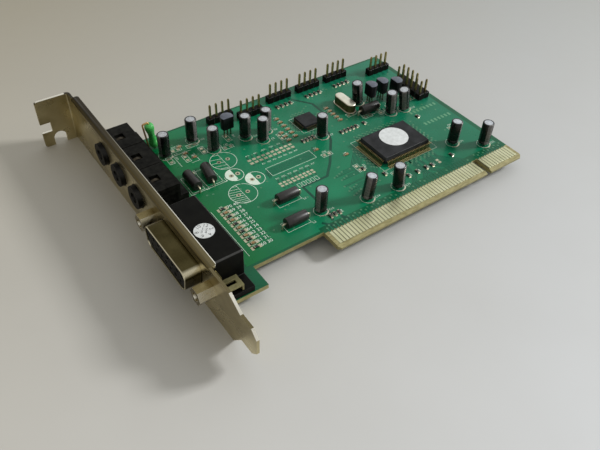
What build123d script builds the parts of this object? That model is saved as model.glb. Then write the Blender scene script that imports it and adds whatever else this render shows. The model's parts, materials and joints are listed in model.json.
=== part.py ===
from build123d import *
import os
from math import atan2, cos, degrees, radians, sin, tan

# Sound card for a 32-bit expansion slot, lying component side up.
# X runs along the edge connector away from the bracket, Y from the fingers to the top edge.
# While building, X = 0 is the middle of the first finger, Y = 0 the finger tips, Z = 0 the board's top.

# Edge connector
finger_pitch = 1.27
finger_width = 1.02
finger_length = 5.5
finger_copper = 0.05
finger_places = 62
key_place = 50
key_places = 2
key_slot_width = 1.91
key_slot_depth = 7.4

# Board
board_thickness = 1.57
board_above_jacks = 1.05
board_behind_flange = 0.2
tongue_height = 8.0
tongue_start_margin = 1.4
tongue_end_margin = 1.2
tongue_corner = 1.2
bevel_height = 1.4
bevel_depth = 0.45
bevel_to_fingers = 0.1
corner_behind_port = 4.2

# Bracket
bracket_to_finger = 43.5
bracket_thickness = 0.86
bracket_drop = 4.9
bend_radius = 1.4
tab_above_jack = 28.7
tab_depth = 11.43
tab_corner = 1.0
slot_width = 4.42
slot_height = 4.8
slot_from_plate = 5.7
notch_size = 3.6
notch_above_slot = 1.0
lip_flat = 1.1
lip_corner = 0.9
lip_room = 0.66
lip_from_tab = 3.4
lip_from_taper = 10.0
tip_below_screw = 22.1
tip_width = 10.19
tip_rise = 5.0
tip_length = 7.4
tip_corner = 2.4
upper_taper = 5.3
lower_taper = 4.2

# Phone jacks
jack_count = 3
jack_pitch = 12.5
jack_gap = 0.3
jack_above_flange = 1.93
jack_height = 10.0
jack_axis_height = 5.85
jack_depth = 10.6
jack_step_depth = 2.6
jack_step_height = 5.2
jack_collar_radius = 3.8
jack_collar_proud = 1.5
jack_collar_room = 0.25
jack_bore_radius = 1.8
jack_back_wall = 0.46
jack_window = 3.0
jack_window_depth = 0.9

# Game port
port_above_board_end = 19.5
port_axis_height = 6.0
port_side_margin = 2.635
port_row_margin = 2.53
port_lean = 10.0
port_corner = 2.4
port_reach = 6.1
shell_wall = 0.5
shell_gap = 0.3
flange_rim = 2.05
flange_past_screw = 2.91
flange_corner = 1.4
flange_thickness = 1.0
insulator_gap = 0.05
insulator_set_back = 0.3
contact_pitch = 2.77
contact_row_gap = 2.84
contact_radius = 0.65
contact_depth = 4.5
contact_columns = 8
screw_past_port = 4.33
hex_across = 4.8
hex_length = 4.9
screw_hole_radius = 1.42
screw_hole_depth = 4.0
body_depth = 10.3
body_height = 11.4
body_chamfer = 0.5
foot_height = 2.0
foot_past_lock = 0.3
lock_width = 4.4
lock_to_body = 0.86
lock_thickness = 0.6
lock_reach = 7.0
lock_shelf = 4.4
lock_top = 9.2
lock_slot_length = 3.6
lock_slot_width = 1.3

# Flat-pack chips
controller_counts = (30, 20)
controller_pitch = 0.65
controller_margins = (0.575, 0.825)
controller_thickness = 2.7
controller_lead_width = 0.3
controller_reach = 1.95
codec_counts = (12, 12)
codec_pitch = 0.5
codec_margins = (0.75, 0.75)
codec_thickness = 1.4
codec_lead_width = 0.22
codec_reach = 1.0
chip_stand_off = 0.3
chip_draft = 10.0
lead_thickness = 0.15
lead_foot = 0.4

# Paper spots
sticker_thickness = 0.1
controller_sticker_radius = 5.2
controller_sticker_shift = (0.4, 1.1)
port_sticker_radius = 3.0
port_sticker_shift = (-0.2, -1.5)

# Capacitor cans
can_radius = 2.0
can_height = 8.4
can_stand_off = 0.8
can_lead_width = 0.5
can_lead_spacing = 1.5

# Pin headers
pin_pitch = 2.54
pin_width = 0.64
pin_top = 7.8
header_height = 2.54
header_notch = 0.5
header_pins = 4
block_columns = 2
block_rows = 6
block_key_index = 5

# Other leaded parts
bead_radius = 1.75
bead_length = 7.6
bead_lead = 0.65
bead_lead_reach = 1.6
transistor_radius = 2.35
transistor_flat = 1.3
transistor_height = 4.8
transistor_leg = 3.2
leg_width = 0.45
leg_pitch = 1.27
crystal_length = 11.05
crystal_width = 4.65
crystal_height = 3.5
crystal_rim = 0.4
crystal_lead_spacing = 4.88
choke_radius = 1.6
choke_waist = 1.15
choke_bulb = 2.4
choke_length = 9.8
choke_stand_off = 0.9
choke_tilt = 7.0
choke_lead = 0.6
choke_lead_gap = 0.5
choke_lead_rise = 1.0
choke_room = 0.9

# Surface chips and solder
chip_length = 1.6
chip_width = 0.8
chip_height = 0.5
joint_width = 1.0
joint_height = 1.2

# Small round pieces are drawn with flat sides, to keep the model light
can_sides = 16
bead_sides = 12
choke_sides = 12
moulded_sides = 16
sticker_sides = 24
contact_sides = 6

# Room that a cut runs past the faces it opens
overshoot = 1.0

# Lines that several pieces share
port_width = (contact_columns - 1) * contact_pitch + 2 * port_side_margin
port_tall = contact_row_gap + 2 * port_row_margin
screw_spacing = port_width + 2 * screw_past_port
flange_length = screw_spacing + 2 * flange_past_screw
flange_tall = port_tall + 2 * flange_rim
lip_width = bend_radius + lip_flat
finger_span = (finger_places - 1) * finger_pitch
tongue_left = -finger_width / 2 - tongue_start_margin
board_right = finger_span + finger_width / 2 + tongue_end_margin
board_low = -(bevel_height + bevel_to_fingers)
board_bottom = board_low + tongue_height
port_y = board_low + port_above_board_end
screw_spots = [port_y - screw_spacing / 2, port_y + screw_spacing / 2]
lowest_jack = port_y + flange_length / 2 + jack_above_flange + jack_pitch / 2
jack_spots = [lowest_jack + (jack_count - 1 - i) * jack_pitch for i in range(jack_count)]
board_top = jack_spots[0] + jack_pitch / 2 + board_above_jacks
bracket_face = -bracket_to_finger
bracket_back = bracket_face + bracket_thickness
flange_back = bracket_back + flange_thickness
board_left = flange_back + board_behind_flange
bracket_low = -bracket_drop
bracket_high = port_axis_height + flange_tall / 2 + lip_room + bracket_thickness
tab_outer = jack_spots[0] + tab_above_jack
tab_inner = tab_outer - bracket_thickness
tab_end = bracket_face - tab_depth
tip = screw_spots[0] - tip_below_screw
shoulder = tip + tip_length
lip_end = tab_inner - lip_from_tab
lip_start = shoulder + upper_taper + lip_from_taper
jack_tall_end = bracket_back + jack_depth
jack_rear = jack_tall_end + jack_step_depth
body_rear = flange_back + body_depth
choke_side = choke_radius + choke_lead_gap

# The finished part stands on the bracket's lower edge, centred under its box
origin = Pos(-(tab_end + board_right) / 2, -(tip + tab_outer) / 2, -bracket_low)


def at_finger(place):
    """X of a place on the connector's grid, which the whole layout keeps to."""
    return place * finger_pitch


def below_top(distance):
    """Y of a place measured down from the board's top edge."""
    return board_top - distance


# Places on the board; a third number is a lean or a turn in degrees
can_spots = [
    (jack_rear + 4.7, below_top(12.4), 0), (at_finger(-10.2), below_top(9.7), 0),
    (at_finger(-7.3), below_top(18.3), 0), (at_finger(2.9), below_top(18.0), 0),
    (at_finger(6.3), below_top(22.8), 0), (at_finger(9.3), below_top(18.8), 0),
    (at_finger(21.2), below_top(32.3), -3), (at_finger(40.2), below_top(22.6), -8),
    (at_finger(45.1), below_top(34.6), -5), (at_finger(49.8), below_top(35.4), -10),
    (at_finger(50.0), 17.3, 2), (at_finger(57.1), 10.8, 0), (at_finger(24.7), 10.1, -4),
    (at_finger(15.1), 11.2, 6), (at_finger(2.4), 14.7, 0),
]
controller_spot = (at_finger(35.4), 27.6)
codec_spot = (at_finger(21.4), below_top(22.8))
crystal_spot = (at_finger(35.6), below_top(22.2))
choke_spot = (jack_rear + choke_side + choke_lead / 2 + choke_room
              + jack_step_height * tan(radians(choke_tilt)), below_top(6.5))
transistor_spots = [
    (at_finger(43.4), below_top(24.8), 180), (at_finger(47.5), below_top(25.0), 180),
    (at_finger(51.3), below_top(27.6), 180), (at_finger(-0.7), below_top(13.5), -90),
]
bead_spots = [
    (at_finger(-2.1), 24.9, 0), (at_finger(-5.2), 14.4, 0), (jack_rear + 5.4, below_top(30.2), 90),
    (jack_rear + 11.6, below_top(29.8), 80), (at_finger(40.1), below_top(29.6), 0),
]
header_spots = [
    (at_finger(1.1), below_top(4.3)), (at_finger(9.7), below_top(7.6)), (at_finger(21.3), below_top(4.3)),
    (at_finger(31.9), below_top(4.3)), (at_finger(42.5), below_top(4.3)), (at_finger(56.6), below_top(9.4)),
]
block_spot = (at_finger(58.4), below_top(27.0))
resistor_rows = [
    (at_finger(15.2), below_top(31.2), 1.5, 4), (at_finger(26.8), below_top(34.4), 1.7, 5),
    (at_finger(3.3), 11.0, 1.7, 3), (at_finger(29.9), 12.2, 4.0, 3),
    (at_finger(18.4), below_top(9.0), 2.0, 4), (at_finger(29.1), below_top(9.0), 2.0, 4),
    (at_finger(39.8), below_top(9.0), 2.0, 4),
]
single_resistors = [
    (at_finger(35.0), below_top(34.4)), (at_finger(38.2), 12.0), (at_finger(45.8), 12.4),
    (at_finger(25.0), 17.3), (at_finger(21.6), 23.4), (at_finger(50.4), 36.0),
]
capacitor_columns = [
    (at_finger(12.3), below_top(28.0), 2.4, 3), (at_finger(14.9), below_top(27.3), 2.4, 6),
    (at_finger(30.3), below_top(28.3), 2.2, 5),
]
single_capacitors = [
    (at_finger(-14.6), below_top(10.6)), (at_finger(-14.6), below_top(15.0)),
    (at_finger(-13.2), below_top(18.4)), (at_finger(16.1), below_top(37.8)), (at_finger(21.7), 32.5),
]
port_column = (body_rear + 9.1, port_y - 5.5, 1.95, 11)


def block(x, y, z):
    """A box between three pairs of limits."""
    size = (x[1] - x[0], y[1] - y[0], z[1] - z[0])
    return Pos(x[0], y[0], z[0]) * Box(*size, align=(Align.MIN, Align.MIN, Align.MIN))


def rod_along_x(radius, start, end, y, z):
    """A round bar along X."""
    bar = Cylinder(radius, end - start, rotation=(0, 90, 0), align=(Align.CENTER, Align.CENTER, Align.MIN))
    return Pos(start, y, z) * bar


def along_x(face, start, length):
    """Pushes a face drawn in Y and Z along X."""
    return Pos(start, 0, 0) * extrude(Plane.YZ * face, length, dir=(1, 0, 0))


def across_y(face, width):
    """Thickens a face drawn in X and Z to both sides of Y = 0."""
    return extrude(Plane.XZ * face, width / 2, both=True)


def turned(spot, angle):
    """A place on the board's top, turned about its own upright."""
    return Pos(spot[0], spot[1], 0) * Rot(0, 0, angle)


def post(width, height):
    """A square upright standing on the board."""
    return Box(width, width, height, align=(Align.CENTER, Align.CENTER, Align.MIN))


def group(pieces):
    """Many like pieces in one node."""
    return Compound([solid for piece in pieces for solid in piece.solids()])


def board():
    under = -board_thickness
    sheet = block((board_left, board_right), (board_bottom, board_top), (under, 0))
    corner = block((board_left, body_rear + corner_behind_port), (board_low, board_bottom), (under, 0))
    edge = Polygon(
        (board_bottom, 0), (board_low + bevel_height, 0), (board_low, -bevel_depth),
        (board_low, under + bevel_depth), (board_low + bevel_height, under), (board_bottom, under),
        align=None)
    tongue = along_x(edge, tongue_left, board_right - tongue_left)
    for x in (tongue_left, board_right):
        tongue -= Pos(x, board_low, under - overshoot) * Rot(0, 0, 45) * Box(
            tongue_corner, tongue_corner, board_thickness + 2 * overshoot,
            align=(Align.CENTER, Align.CENTER, Align.MIN))
    key_x = (key_place - 1 + (key_places - 1) / 2) * finger_pitch
    key = block((key_x - key_slot_width / 2, key_x + key_slot_width / 2),
                (board_low - overshoot, board_low + key_slot_depth), (under - overshoot, overshoot))
    return sheet + corner + tongue - key


def edge_fingers():
    keyed = range(key_place, key_place + key_places)
    places = [place for place in range(1, finger_places + 1) if place not in keyed]
    pad = block((-finger_width / 2, finger_width / 2), (0, finger_length), (0, finger_copper))
    return group([Pos((place - 1) * finger_pitch, 0, 0) * pad for place in places])


def port_outline(inset):
    """The D of the game port in Y and Z, wider on top, drawn in by an inset or out by a negative one."""
    width, tall = port_width - 2 * inset, port_tall - 2 * inset
    lean = tall * tan(radians(port_lean))
    face = Polygon(
        (-width / 2, tall / 2), (width / 2, tall / 2), (width / 2 - lean, -tall / 2),
        (lean - width / 2, -tall / 2), align=None)
    return Pos(port_y, port_axis_height, 0) * fillet(face.vertices(), port_corner - inset)


def bracket_lip():
    """The stiffening fold along the plate's upper edge."""
    middle = (bracket_face + bend_radius, bracket_high - bend_radius)
    ring = Circle(bend_radius) - Circle(bend_radius - bracket_thickness)
    quarter = Rectangle(bend_radius, bend_radius, align=(Align.MAX, Align.MIN))
    bend = Pos(*middle) * (ring & quarter)
    flat = Pos(middle[0], bracket_high - bracket_thickness) * Rectangle(
        lip_flat, bracket_thickness, align=(Align.MIN, Align.MIN))
    lip = Pos(0, lip_end, 0) * extrude(Plane.XZ * (bend + flat), lip_end - lip_start)
    return fillet(lip.edges().filter_by(Axis.Z).group_by(Axis.X)[-1], lip_corner)


def bracket_sheet():
    """The plate and its bent tab, cut to the outline that narrows to the tip."""
    section = Polygon(
        (bracket_face, tip), (bracket_back, tip), (bracket_back, tab_outer), (tab_end, tab_outer),
        (tab_end, tab_inner), (bracket_face, tab_inner), align=None)
    outer = section.vertices().sort_by_distance((bracket_back, tab_outer, 0))[0]
    section = fillet(outer, bend_radius)
    inner = section.vertices().sort_by_distance((bracket_face, tab_inner, 0))[0]
    section = fillet(inner, bend_radius - bracket_thickness)
    sheet = Pos(0, 0, bracket_low) * extrude(section, bracket_high - bracket_low)
    sheet = fillet(sheet.edges().filter_by(Axis.Y).group_by(Axis.X)[0], tab_corner)
    tip_low = bracket_low + tip_rise
    tip_high = tip_low + tip_width
    outline = Polygon(
        (tab_outer, bracket_low), (shoulder + lower_taper, bracket_low), (shoulder, tip_low), (tip, tip_low),
        (tip, tip_high), (shoulder, tip_high), (shoulder + upper_taper, bracket_high),
        (tab_outer, bracket_high), align=None)
    outline = chamfer(outline.vertices().group_by(Axis.X)[0], tip_corner)
    return sheet & along_x(outline, tab_end - overshoot, tab_depth + bracket_thickness + 2 * overshoot)


def bracket():
    sheet = bracket_sheet()
    through_tab = (tab_inner - overshoot, tab_outer + overshoot)
    notch_low = bracket_low + slot_height + notch_above_slot
    sheet -= block((tab_end - overshoot, tab_end + notch_size), through_tab,
                   (notch_low, notch_low + notch_size))
    slot_x = bracket_face - slot_from_plate
    slot_end = bracket_low + slot_height - slot_width / 2
    sheet -= block((slot_x - slot_width / 2, slot_x + slot_width / 2), through_tab,
                   (bracket_low - overshoot, slot_end))
    sheet -= Pos(slot_x, tab_inner, slot_end) * Cylinder(
        slot_width / 2, 2 * (bracket_thickness + overshoot), rotation=(90, 0, 0))
    start, end = bracket_face - overshoot, bracket_back + overshoot
    sheet -= block((start, end), (lip_start, lip_end), (bracket_high - bend_radius, bracket_high + overshoot))
    sheet += bracket_lip()
    for y in jack_spots:
        sheet -= rod_along_x(jack_collar_radius + jack_collar_room, start, end, y, jack_axis_height)
    return sheet - along_x(port_outline(-shell_gap), start, end - start)


def phone_jack(y):
    """A moulded jack: block, lower rear step, window on top, and the collar that comes through the plate."""
    sides = (y - (jack_pitch - jack_gap) / 2, y + (jack_pitch - jack_gap) / 2)
    front = bracket_face - jack_collar_proud
    profile = Polygon(
        (bracket_back, 0), (jack_rear, 0), (jack_rear, jack_step_height), (jack_tall_end, jack_step_height),
        (jack_tall_end, jack_height), (bracket_back, jack_height), align=None)
    body = Pos(0, y, 0) * across_y(profile, sides[1] - sides[0])
    window_x = bracket_back + jack_depth / 2
    body -= block((window_x - jack_window / 2, window_x + jack_window / 2),
                  (y - jack_window / 2, y + jack_window / 2),
                  (jack_height - jack_window_depth, jack_height + overshoot))
    body += rod_along_x(jack_collar_radius, front, bracket_back, y, jack_axis_height)
    return body - rod_along_x(jack_bore_radius, front - overshoot, jack_tall_end - jack_back_wall,
                              y, jack_axis_height)


def port_shell():
    """The drawn metal D with its mounting flange behind the bracket."""
    front = bracket_back - port_reach
    shell = along_x(port_outline(0), front, port_reach)
    flange = Rectangle(flange_length, flange_tall)
    flange = Pos(port_y, port_axis_height) * chamfer(flange.vertices(), flange_corner)
    shell += along_x(flange, bracket_back, flange_thickness)
    return shell - along_x(port_outline(shell_wall), front - overshoot,
                           port_reach + flange_thickness + 2 * overshoot)


def port_insulator():
    """The black face inside the D, with its two rows of contact holes."""
    front = bracket_back - port_reach + insulator_set_back
    solid = along_x(port_outline(shell_wall + insulator_gap), front, flange_back - front)
    holes = []
    for row, columns in ((1, contact_columns), (-1, contact_columns - 1)):
        for column in range(columns):
            y = port_y + (column - (columns - 1) / 2) * contact_pitch
            z = port_axis_height + row * contact_row_gap / 2
            holes.append(Pos(y, z) * RegularPolygon(contact_radius, contact_sides))
    return solid - along_x(Sketch() + holes, front, contact_depth)


def port_body():
    """The moulded body behind the flange, with a low foot under each board lock."""
    half = screw_spacing / 2 - lock_width / 2 - lock_to_body
    main = block((flange_back, body_rear), (port_y - half, port_y + half), (0, body_height))
    main = chamfer(main.edges().group_by(Axis.Z)[-1], body_chamfer)
    reach = screw_spacing / 2 + lock_width / 2 + foot_past_lock
    return main + block((flange_back, body_rear), (port_y - reach, port_y + reach), (0, foot_height))


def board_lock(y):
    """A bent metal strap: up the flange's back, along a slotted shelf and down to the foot."""
    end = flange_back + lock_reach
    inner = flange_back + lock_thickness
    shelf = lock_shelf - lock_thickness
    profile = Polygon(
        (flange_back, foot_height), (inner, foot_height), (inner, shelf), (end - lock_thickness, shelf),
        (end - lock_thickness, foot_height), (end, foot_height), (end, lock_shelf), (inner, lock_shelf),
        (inner, lock_top), (flange_back, lock_top), align=None)
    strap = Pos(0, y, 0) * across_y(profile, lock_width)
    middle = (inner + end) / 2
    return strap - block((middle - lock_slot_length / 2, middle + lock_slot_length / 2),
                         (y - lock_slot_width / 2, y + lock_slot_width / 2),
                         (shelf - overshoot, lock_shelf + overshoot))


def jack_screw(y):
    """A hexagonal standoff on the plate's face, with its own tapped hole."""
    front = bracket_face - hex_length
    face = Pos(y, port_axis_height) * RegularPolygon(hex_across / 2, 6, major_radius=False)
    return along_x(face, front, hex_length) - rod_along_x(
        screw_hole_radius, front - overshoot, front + screw_hole_depth, y, port_axis_height)


def chip_sides(counts, pitch, margins):
    """A flat pack's length and width: its leads and the bare body past the outer ones."""
    return [(count - 1) * pitch + 2 * margin for count, margin in zip(counts, margins)]


def chip_body(spot, sides, thickness):
    """A moulded flat pack whose sides draw in above and below the lead line."""
    half = thickness / 2
    middle = Plane.XY.offset(chip_stand_off + half)
    upper = extrude(middle * Rectangle(*sides), half, taper=chip_draft)
    lower = extrude(middle * Rectangle(*sides), -half, taper=chip_draft)
    return Pos(*spot, 0) * (upper + lower)


def chip_leads(spot, sides, thickness, counts, pitch, width, reach):
    """One lead, drawn as a side view that drops to a flat foot, set out by pattern along four sides."""
    exit_z = chip_stand_off + thickness / 2
    heel = reach * (1 - lead_foot)
    wing = Polygon(
        (0, exit_z + lead_thickness / 2), (0, exit_z - lead_thickness / 2), (heel, 0), (reach, 0), align=None)
    lead = across_y(wing, width)
    rows = ((0, sides[0], counts[1]), (90, sides[1], counts[0]), (180, sides[0], counts[1]),
            (270, sides[1], counts[0]))
    leads = []
    for angle, across, count in rows:
        for i in range(count):
            along = (i - (count - 1) / 2) * pitch
            leads.append(turned(spot, angle) * Pos(across / 2, along, 0) * lead)
    return group(leads)


def sticker(spot, radius, z):
    return Pos(*spot, z) * extrude(RegularPolygon(radius, sticker_sides), sticker_thickness)


def can(x, y, lean):
    body = extrude(RegularPolygon(can_radius, can_sides), can_height)
    return Pos(x, y, can_stand_off) * Rot(0, lean, 0) * body


def can_leads(x, y, lean):
    """Two short wires under a can, cut a little lower where the can leans over them."""
    height = can_stand_off - can_lead_width / 2 * tan(radians(abs(lean)))
    wire = post(can_lead_width, height)
    return group([Pos(x, y + side * can_lead_spacing / 2, 0) * wire for side in (-1, 1)])


def pin_grid(spot, columns, rows):
    return [(spot[0] + (i - (columns - 1) / 2) * pin_pitch, spot[1] + (j - (rows - 1) / 2) * pin_pitch)
            for i in range(columns) for j in range(rows)]


def pin_header(spot, columns, rows):
    """A header base: a strip with a nick on each side between neighbouring pins."""
    face = Pos(*spot) * Rectangle(columns * pin_pitch, rows * pin_pitch)
    nick = Rectangle(header_notch, header_notch, rotation=45)
    across, down = columns * pin_pitch / 2, rows * pin_pitch / 2
    nicks = [(i * pin_pitch - across, side * down) for i in range(1, columns) for side in (-1, 1)]
    nicks += [(side * across, j * pin_pitch - down) for j in range(1, rows) for side in (-1, 1)]
    face -= [Pos(spot[0] + x, spot[1] + y) * nick for x, y in nicks]
    return extrude(face, header_height)


def pin_places():
    """Every header pin; the block lacks the one that keys its plug."""
    places = [place for spot in header_spots for place in pin_grid(spot, header_pins, 1)]
    block_places = pin_grid(block_spot, block_columns, block_rows)
    del block_places[-block_key_index]
    return places + block_places


def header_pin_group():
    pin = Pos(0, 0, header_height) * post(pin_width, pin_top - header_height)
    return group([Pos(*place, 0) * pin for place in pin_places()])


def bead(x, y, angle):
    """A bead that lies on one of its flats."""
    face = RegularPolygon(bead_radius, bead_sides, major_radius=False, rotation=180 / bead_sides)
    return turned((x, y), angle) * along_x(Pos(0, bead_radius) * face, -bead_length / 2, bead_length)


def bead_leads():
    """The wires that leave each bead's ends and turn down to the board."""
    start, end = bead_length / 2, bead_length / 2 + bead_lead_reach
    low, high = bead_radius - bead_lead / 2, bead_radius + bead_lead / 2
    wire = Polygon(
        (start, low), (start, high), (end, high), (end, 0), (end - bead_lead, 0), (end - bead_lead, low),
        align=None)
    lead = across_y(wire, bead_lead)
    return group([turned(spot, spot[2] + side) * lead for spot in bead_spots for side in (0, 180)])


def transistor(x, y, angle):
    """A moulded half-round body with one flat."""
    face = RegularPolygon(transistor_radius, moulded_sides) - Pos(transistor_flat, 0) * Rectangle(
        transistor_radius, 2 * transistor_radius, align=(Align.MIN, Align.CENTER))
    return turned((x, y), angle) * Pos(0, 0, transistor_leg) * extrude(face, transistor_height)


def transistor_legs():
    leg = post(leg_width, transistor_leg)
    return group([turned(spot, spot[2]) * Pos(0, side * leg_pitch, 0) * leg
                  for spot in transistor_spots for side in (-1, 0, 1)])


def stadium(length, width):
    """A long outline along Y with rounded ends."""
    end = RegularPolygon(width / 2, moulded_sides)
    straight = length - width
    return Rectangle(width, straight) + [Pos(0, side * straight / 2) * end for side in (-1, 1)]


def crystal():
    """A low metal can on a wider rolled rim."""
    rim = stadium(crystal_length, crystal_width)
    shell = stadium(crystal_length - 2 * crystal_rim, crystal_width - 2 * crystal_rim)
    return Pos(*crystal_spot, 0) * (extrude(rim, crystal_rim) + extrude(shell, crystal_height))


def choke_frame():
    """The choke's own frame: it leans from its foot on the board."""
    return Pos(*choke_spot, 0) * Rot(0, -choke_tilt, 0) * Pos(0, 0, choke_stand_off)


def choke():
    """A dipped dog-bone body: two bulbs that draw in to a narrower waist."""
    face = RegularPolygon(choke_radius, choke_sides)
    drawn = choke_length / 2 - choke_bulb
    angle = degrees(atan2(choke_radius - choke_waist, drawn))
    half = extrude(face, choke_bulb) + Pos(0, 0, choke_bulb) * extrude(face, drawn, taper=angle)
    return choke_frame() * (half + half.mirror(Plane.XY.offset(choke_length / 2)))


def choke_leads():
    """The lower wire goes straight down, the upper one folds over the top and down the side."""
    half = choke_lead / 2
    top = choke_length + choke_lead_rise
    below = -choke_stand_off - choke_radius
    fold = Polygon(
        (half, choke_length), (half, top), (-choke_side - half, top), (-choke_side - half, below),
        (half - choke_side, below), (half - choke_side, top - choke_lead), (-half, top - choke_lead),
        (-half, choke_length), align=None)
    stem = Pos(0, below) * Rectangle(choke_lead, -below, align=(Align.CENTER, Align.MIN))
    x, y = choke_spot
    under = block((x - choke_length, x + choke_length), (y - choke_lead, y + choke_lead), (-choke_length, 0))
    return group([choke_frame() * across_y(face, choke_lead) - under for face in (fold, stem)])


def chips(spots):
    body = Box(chip_length, chip_width, chip_height, align=(Align.CENTER, Align.CENTER, Align.MIN))
    return group([turned(spot, spot[2]) * body for spot in spots])


def resistor_chips():
    spots = [(x + i * step, y, 90) for x, y, step, count in resistor_rows for i in range(count)]
    spots += [(x, y, 90) for x, y in single_resistors]
    x, y, step, count = port_column
    return chips(spots + [(x, y + i * step, 0) for i in range(0, count, 2)])


def capacitor_chips():
    spots = [(x, y + i * step, 0) for x, y, step, count in capacitor_columns for i in range(count)]
    spots += [(x, y, 0) for x, y in single_capacitors]
    x, y, step, count = port_column
    return chips(spots + [(x, y + i * step, 0) for i in range(1, count, 2)])


def solder_places():
    """Every spot where a wire comes through the board."""
    spots = [(x, y + side * can_lead_spacing / 2) for x, y, lean in can_spots for side in (-1, 1)]
    spots += pin_places()
    for y in jack_spots:
        spots += [(x, y + side * jack_pitch / 4) for side in (-1, 1)
                  for x in (jack_rear - jack_step_depth / 2, bracket_back + jack_depth / 2)]
    for row, columns in ((1, contact_columns), (2, contact_columns - 1)):
        x = body_rear - row * contact_row_gap
        spots += [(x, port_y + (i - (columns - 1) / 2) * contact_pitch) for i in range(columns)]
    spots += [(flange_back + lock_reach - lock_thickness / 2, y) for y in screw_spots]
    for x, y, angle in transistor_spots:
        turn = radians(angle)
        spots += [(x - side * leg_pitch * sin(turn), y + side * leg_pitch * cos(turn)) for side in (-1, 0, 1)]
    wire = bead_length / 2 + bead_lead_reach - bead_lead / 2
    for x, y, angle in bead_spots:
        turn = radians(angle)
        spots += [(x + side * wire * cos(turn), y + side * wire * sin(turn)) for side in (-1, 1)]
    spots += [(crystal_spot[0], crystal_spot[1] + side * crystal_lead_spacing / 2) for side in (-1, 1)]
    return spots + [choke_spot, (choke_spot[0] - choke_side, choke_spot[1])]


def solder_joint():
    """A small pointed heap of solder, hanging from the board's underside."""
    half, under = joint_width / 2, -board_thickness
    base = [(-half, -half, under), (half, -half, under), (half, half, under), (-half, half, under)]
    point = (0, 0, under - joint_height)
    sides = [Face(Wire.make_polygon([base[i - 1], base[i], point])) for i in range(len(base))]
    return Solid(Shell([Face(Wire.make_polygon(base))] + sides))


def solder_joints():
    joint = solder_joint()
    return group([Pos(*spot, 0) * joint for spot in solder_places()])


def all_pieces():
    controller_sides = chip_sides(controller_counts, controller_pitch, controller_margins)
    codec_sides = chip_sides(codec_counts, codec_pitch, codec_margins)
    controller_top = chip_stand_off + controller_thickness
    on_controller = [place + shift for place, shift in zip(controller_spot, controller_sticker_shift)]
    on_port = (flange_back + body_depth / 2 + port_sticker_shift[0], port_y + port_sticker_shift[1])
    pieces = {
        "circuit_board": board(),
        "edge_fingers": edge_fingers(),
        "bracket": bracket(),
        "game_port_shell": port_shell(),
        "game_port_insulator": port_insulator(),
        "game_port_body": port_body(),
        "game_port_sticker": sticker(on_port, port_sticker_radius, body_height),
        "controller_chip": chip_body(controller_spot, controller_sides, controller_thickness),
        "controller_leads": chip_leads(
            controller_spot, controller_sides, controller_thickness, controller_counts, controller_pitch,
            controller_lead_width, controller_reach),
        "controller_sticker": sticker(on_controller, controller_sticker_radius, controller_top),
        "codec_chip": chip_body(codec_spot, codec_sides, codec_thickness),
        "codec_leads": chip_leads(
            codec_spot, codec_sides, codec_thickness, codec_counts, codec_pitch, codec_lead_width,
            codec_reach),
        "crystal": crystal(),
        "choke": choke(),
        "choke_leads": choke_leads(),
        "bead_leads": bead_leads(),
        "transistor_legs": transistor_legs(),
        "capacitor_leads": group([can_leads(*spot) for spot in can_spots]),
        "pin_header_block": pin_header(block_spot, block_columns, block_rows),
        "header_pins": header_pin_group(),
        "chip_resistors": resistor_chips(),
        "chip_capacitors": capacitor_chips(),
        "solder_joints": solder_joints(),
    }
    for number, y in enumerate(jack_spots, 1):
        pieces[f"phone_jack_{number}"] = phone_jack(y)
    for name, y in zip(("near", "far"), screw_spots):
        pieces[f"jack_screw_{name}"] = jack_screw(y)
        pieces[f"board_lock_{name}"] = board_lock(y)
    for number, spot in enumerate(can_spots, 1):
        pieces[f"capacitor_{number}"] = can(*spot)
    for number, spot in enumerate(bead_spots, 1):
        pieces[f"ferrite_bead_{number}"] = bead(*spot)
    for number, spot in enumerate(transistor_spots, 1):
        pieces[f"transistor_{number}"] = transistor(*spot)
    for number, spot in enumerate(header_spots, 1):
        pieces[f"pin_header_{number}"] = pin_header(spot, header_pins, 1)
    return pieces


os.makedirs("parts", exist_ok=True)
for name, piece in all_pieces().items():
    export_step(origin * piece, f"parts/{name}.step")
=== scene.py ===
import json
import math
import random
import bpy
import bmesh
from mathutils import Matrix, Vector


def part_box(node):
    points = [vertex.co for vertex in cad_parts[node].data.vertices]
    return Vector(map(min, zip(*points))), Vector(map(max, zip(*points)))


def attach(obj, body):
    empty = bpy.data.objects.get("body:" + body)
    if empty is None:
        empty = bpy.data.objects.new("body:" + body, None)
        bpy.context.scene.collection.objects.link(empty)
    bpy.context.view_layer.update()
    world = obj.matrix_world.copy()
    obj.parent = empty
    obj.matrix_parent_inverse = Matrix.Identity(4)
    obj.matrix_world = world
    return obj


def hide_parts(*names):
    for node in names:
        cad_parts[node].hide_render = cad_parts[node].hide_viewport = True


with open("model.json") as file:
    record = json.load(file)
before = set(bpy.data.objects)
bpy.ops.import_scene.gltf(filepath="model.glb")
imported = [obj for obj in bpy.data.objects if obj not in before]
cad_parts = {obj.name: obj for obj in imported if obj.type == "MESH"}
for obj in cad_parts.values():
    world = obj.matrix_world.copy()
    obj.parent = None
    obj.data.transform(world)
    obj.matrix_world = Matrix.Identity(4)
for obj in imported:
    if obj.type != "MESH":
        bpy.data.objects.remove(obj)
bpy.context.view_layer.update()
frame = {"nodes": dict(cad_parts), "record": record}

# The looks of a sound card: the solids of the frame, dressed with finishes, board art and fine forms.
# Drawings are in millimetres and degrees, on the board from the first finger; meshes are in metres.
MM = 0.001
BODY = "root"
WELD_GAP = 1e-7
BEVEL_ANGLE = 35
SMOOTH_ANGLE = 38
PIN_SMOOTH_ANGLE = 20
MITRE_LEAST = 0.4
AXIS_PASSES = 6
UPRIGHT_MOST = 0.1
AWAY_LEAST = 0.001

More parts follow.
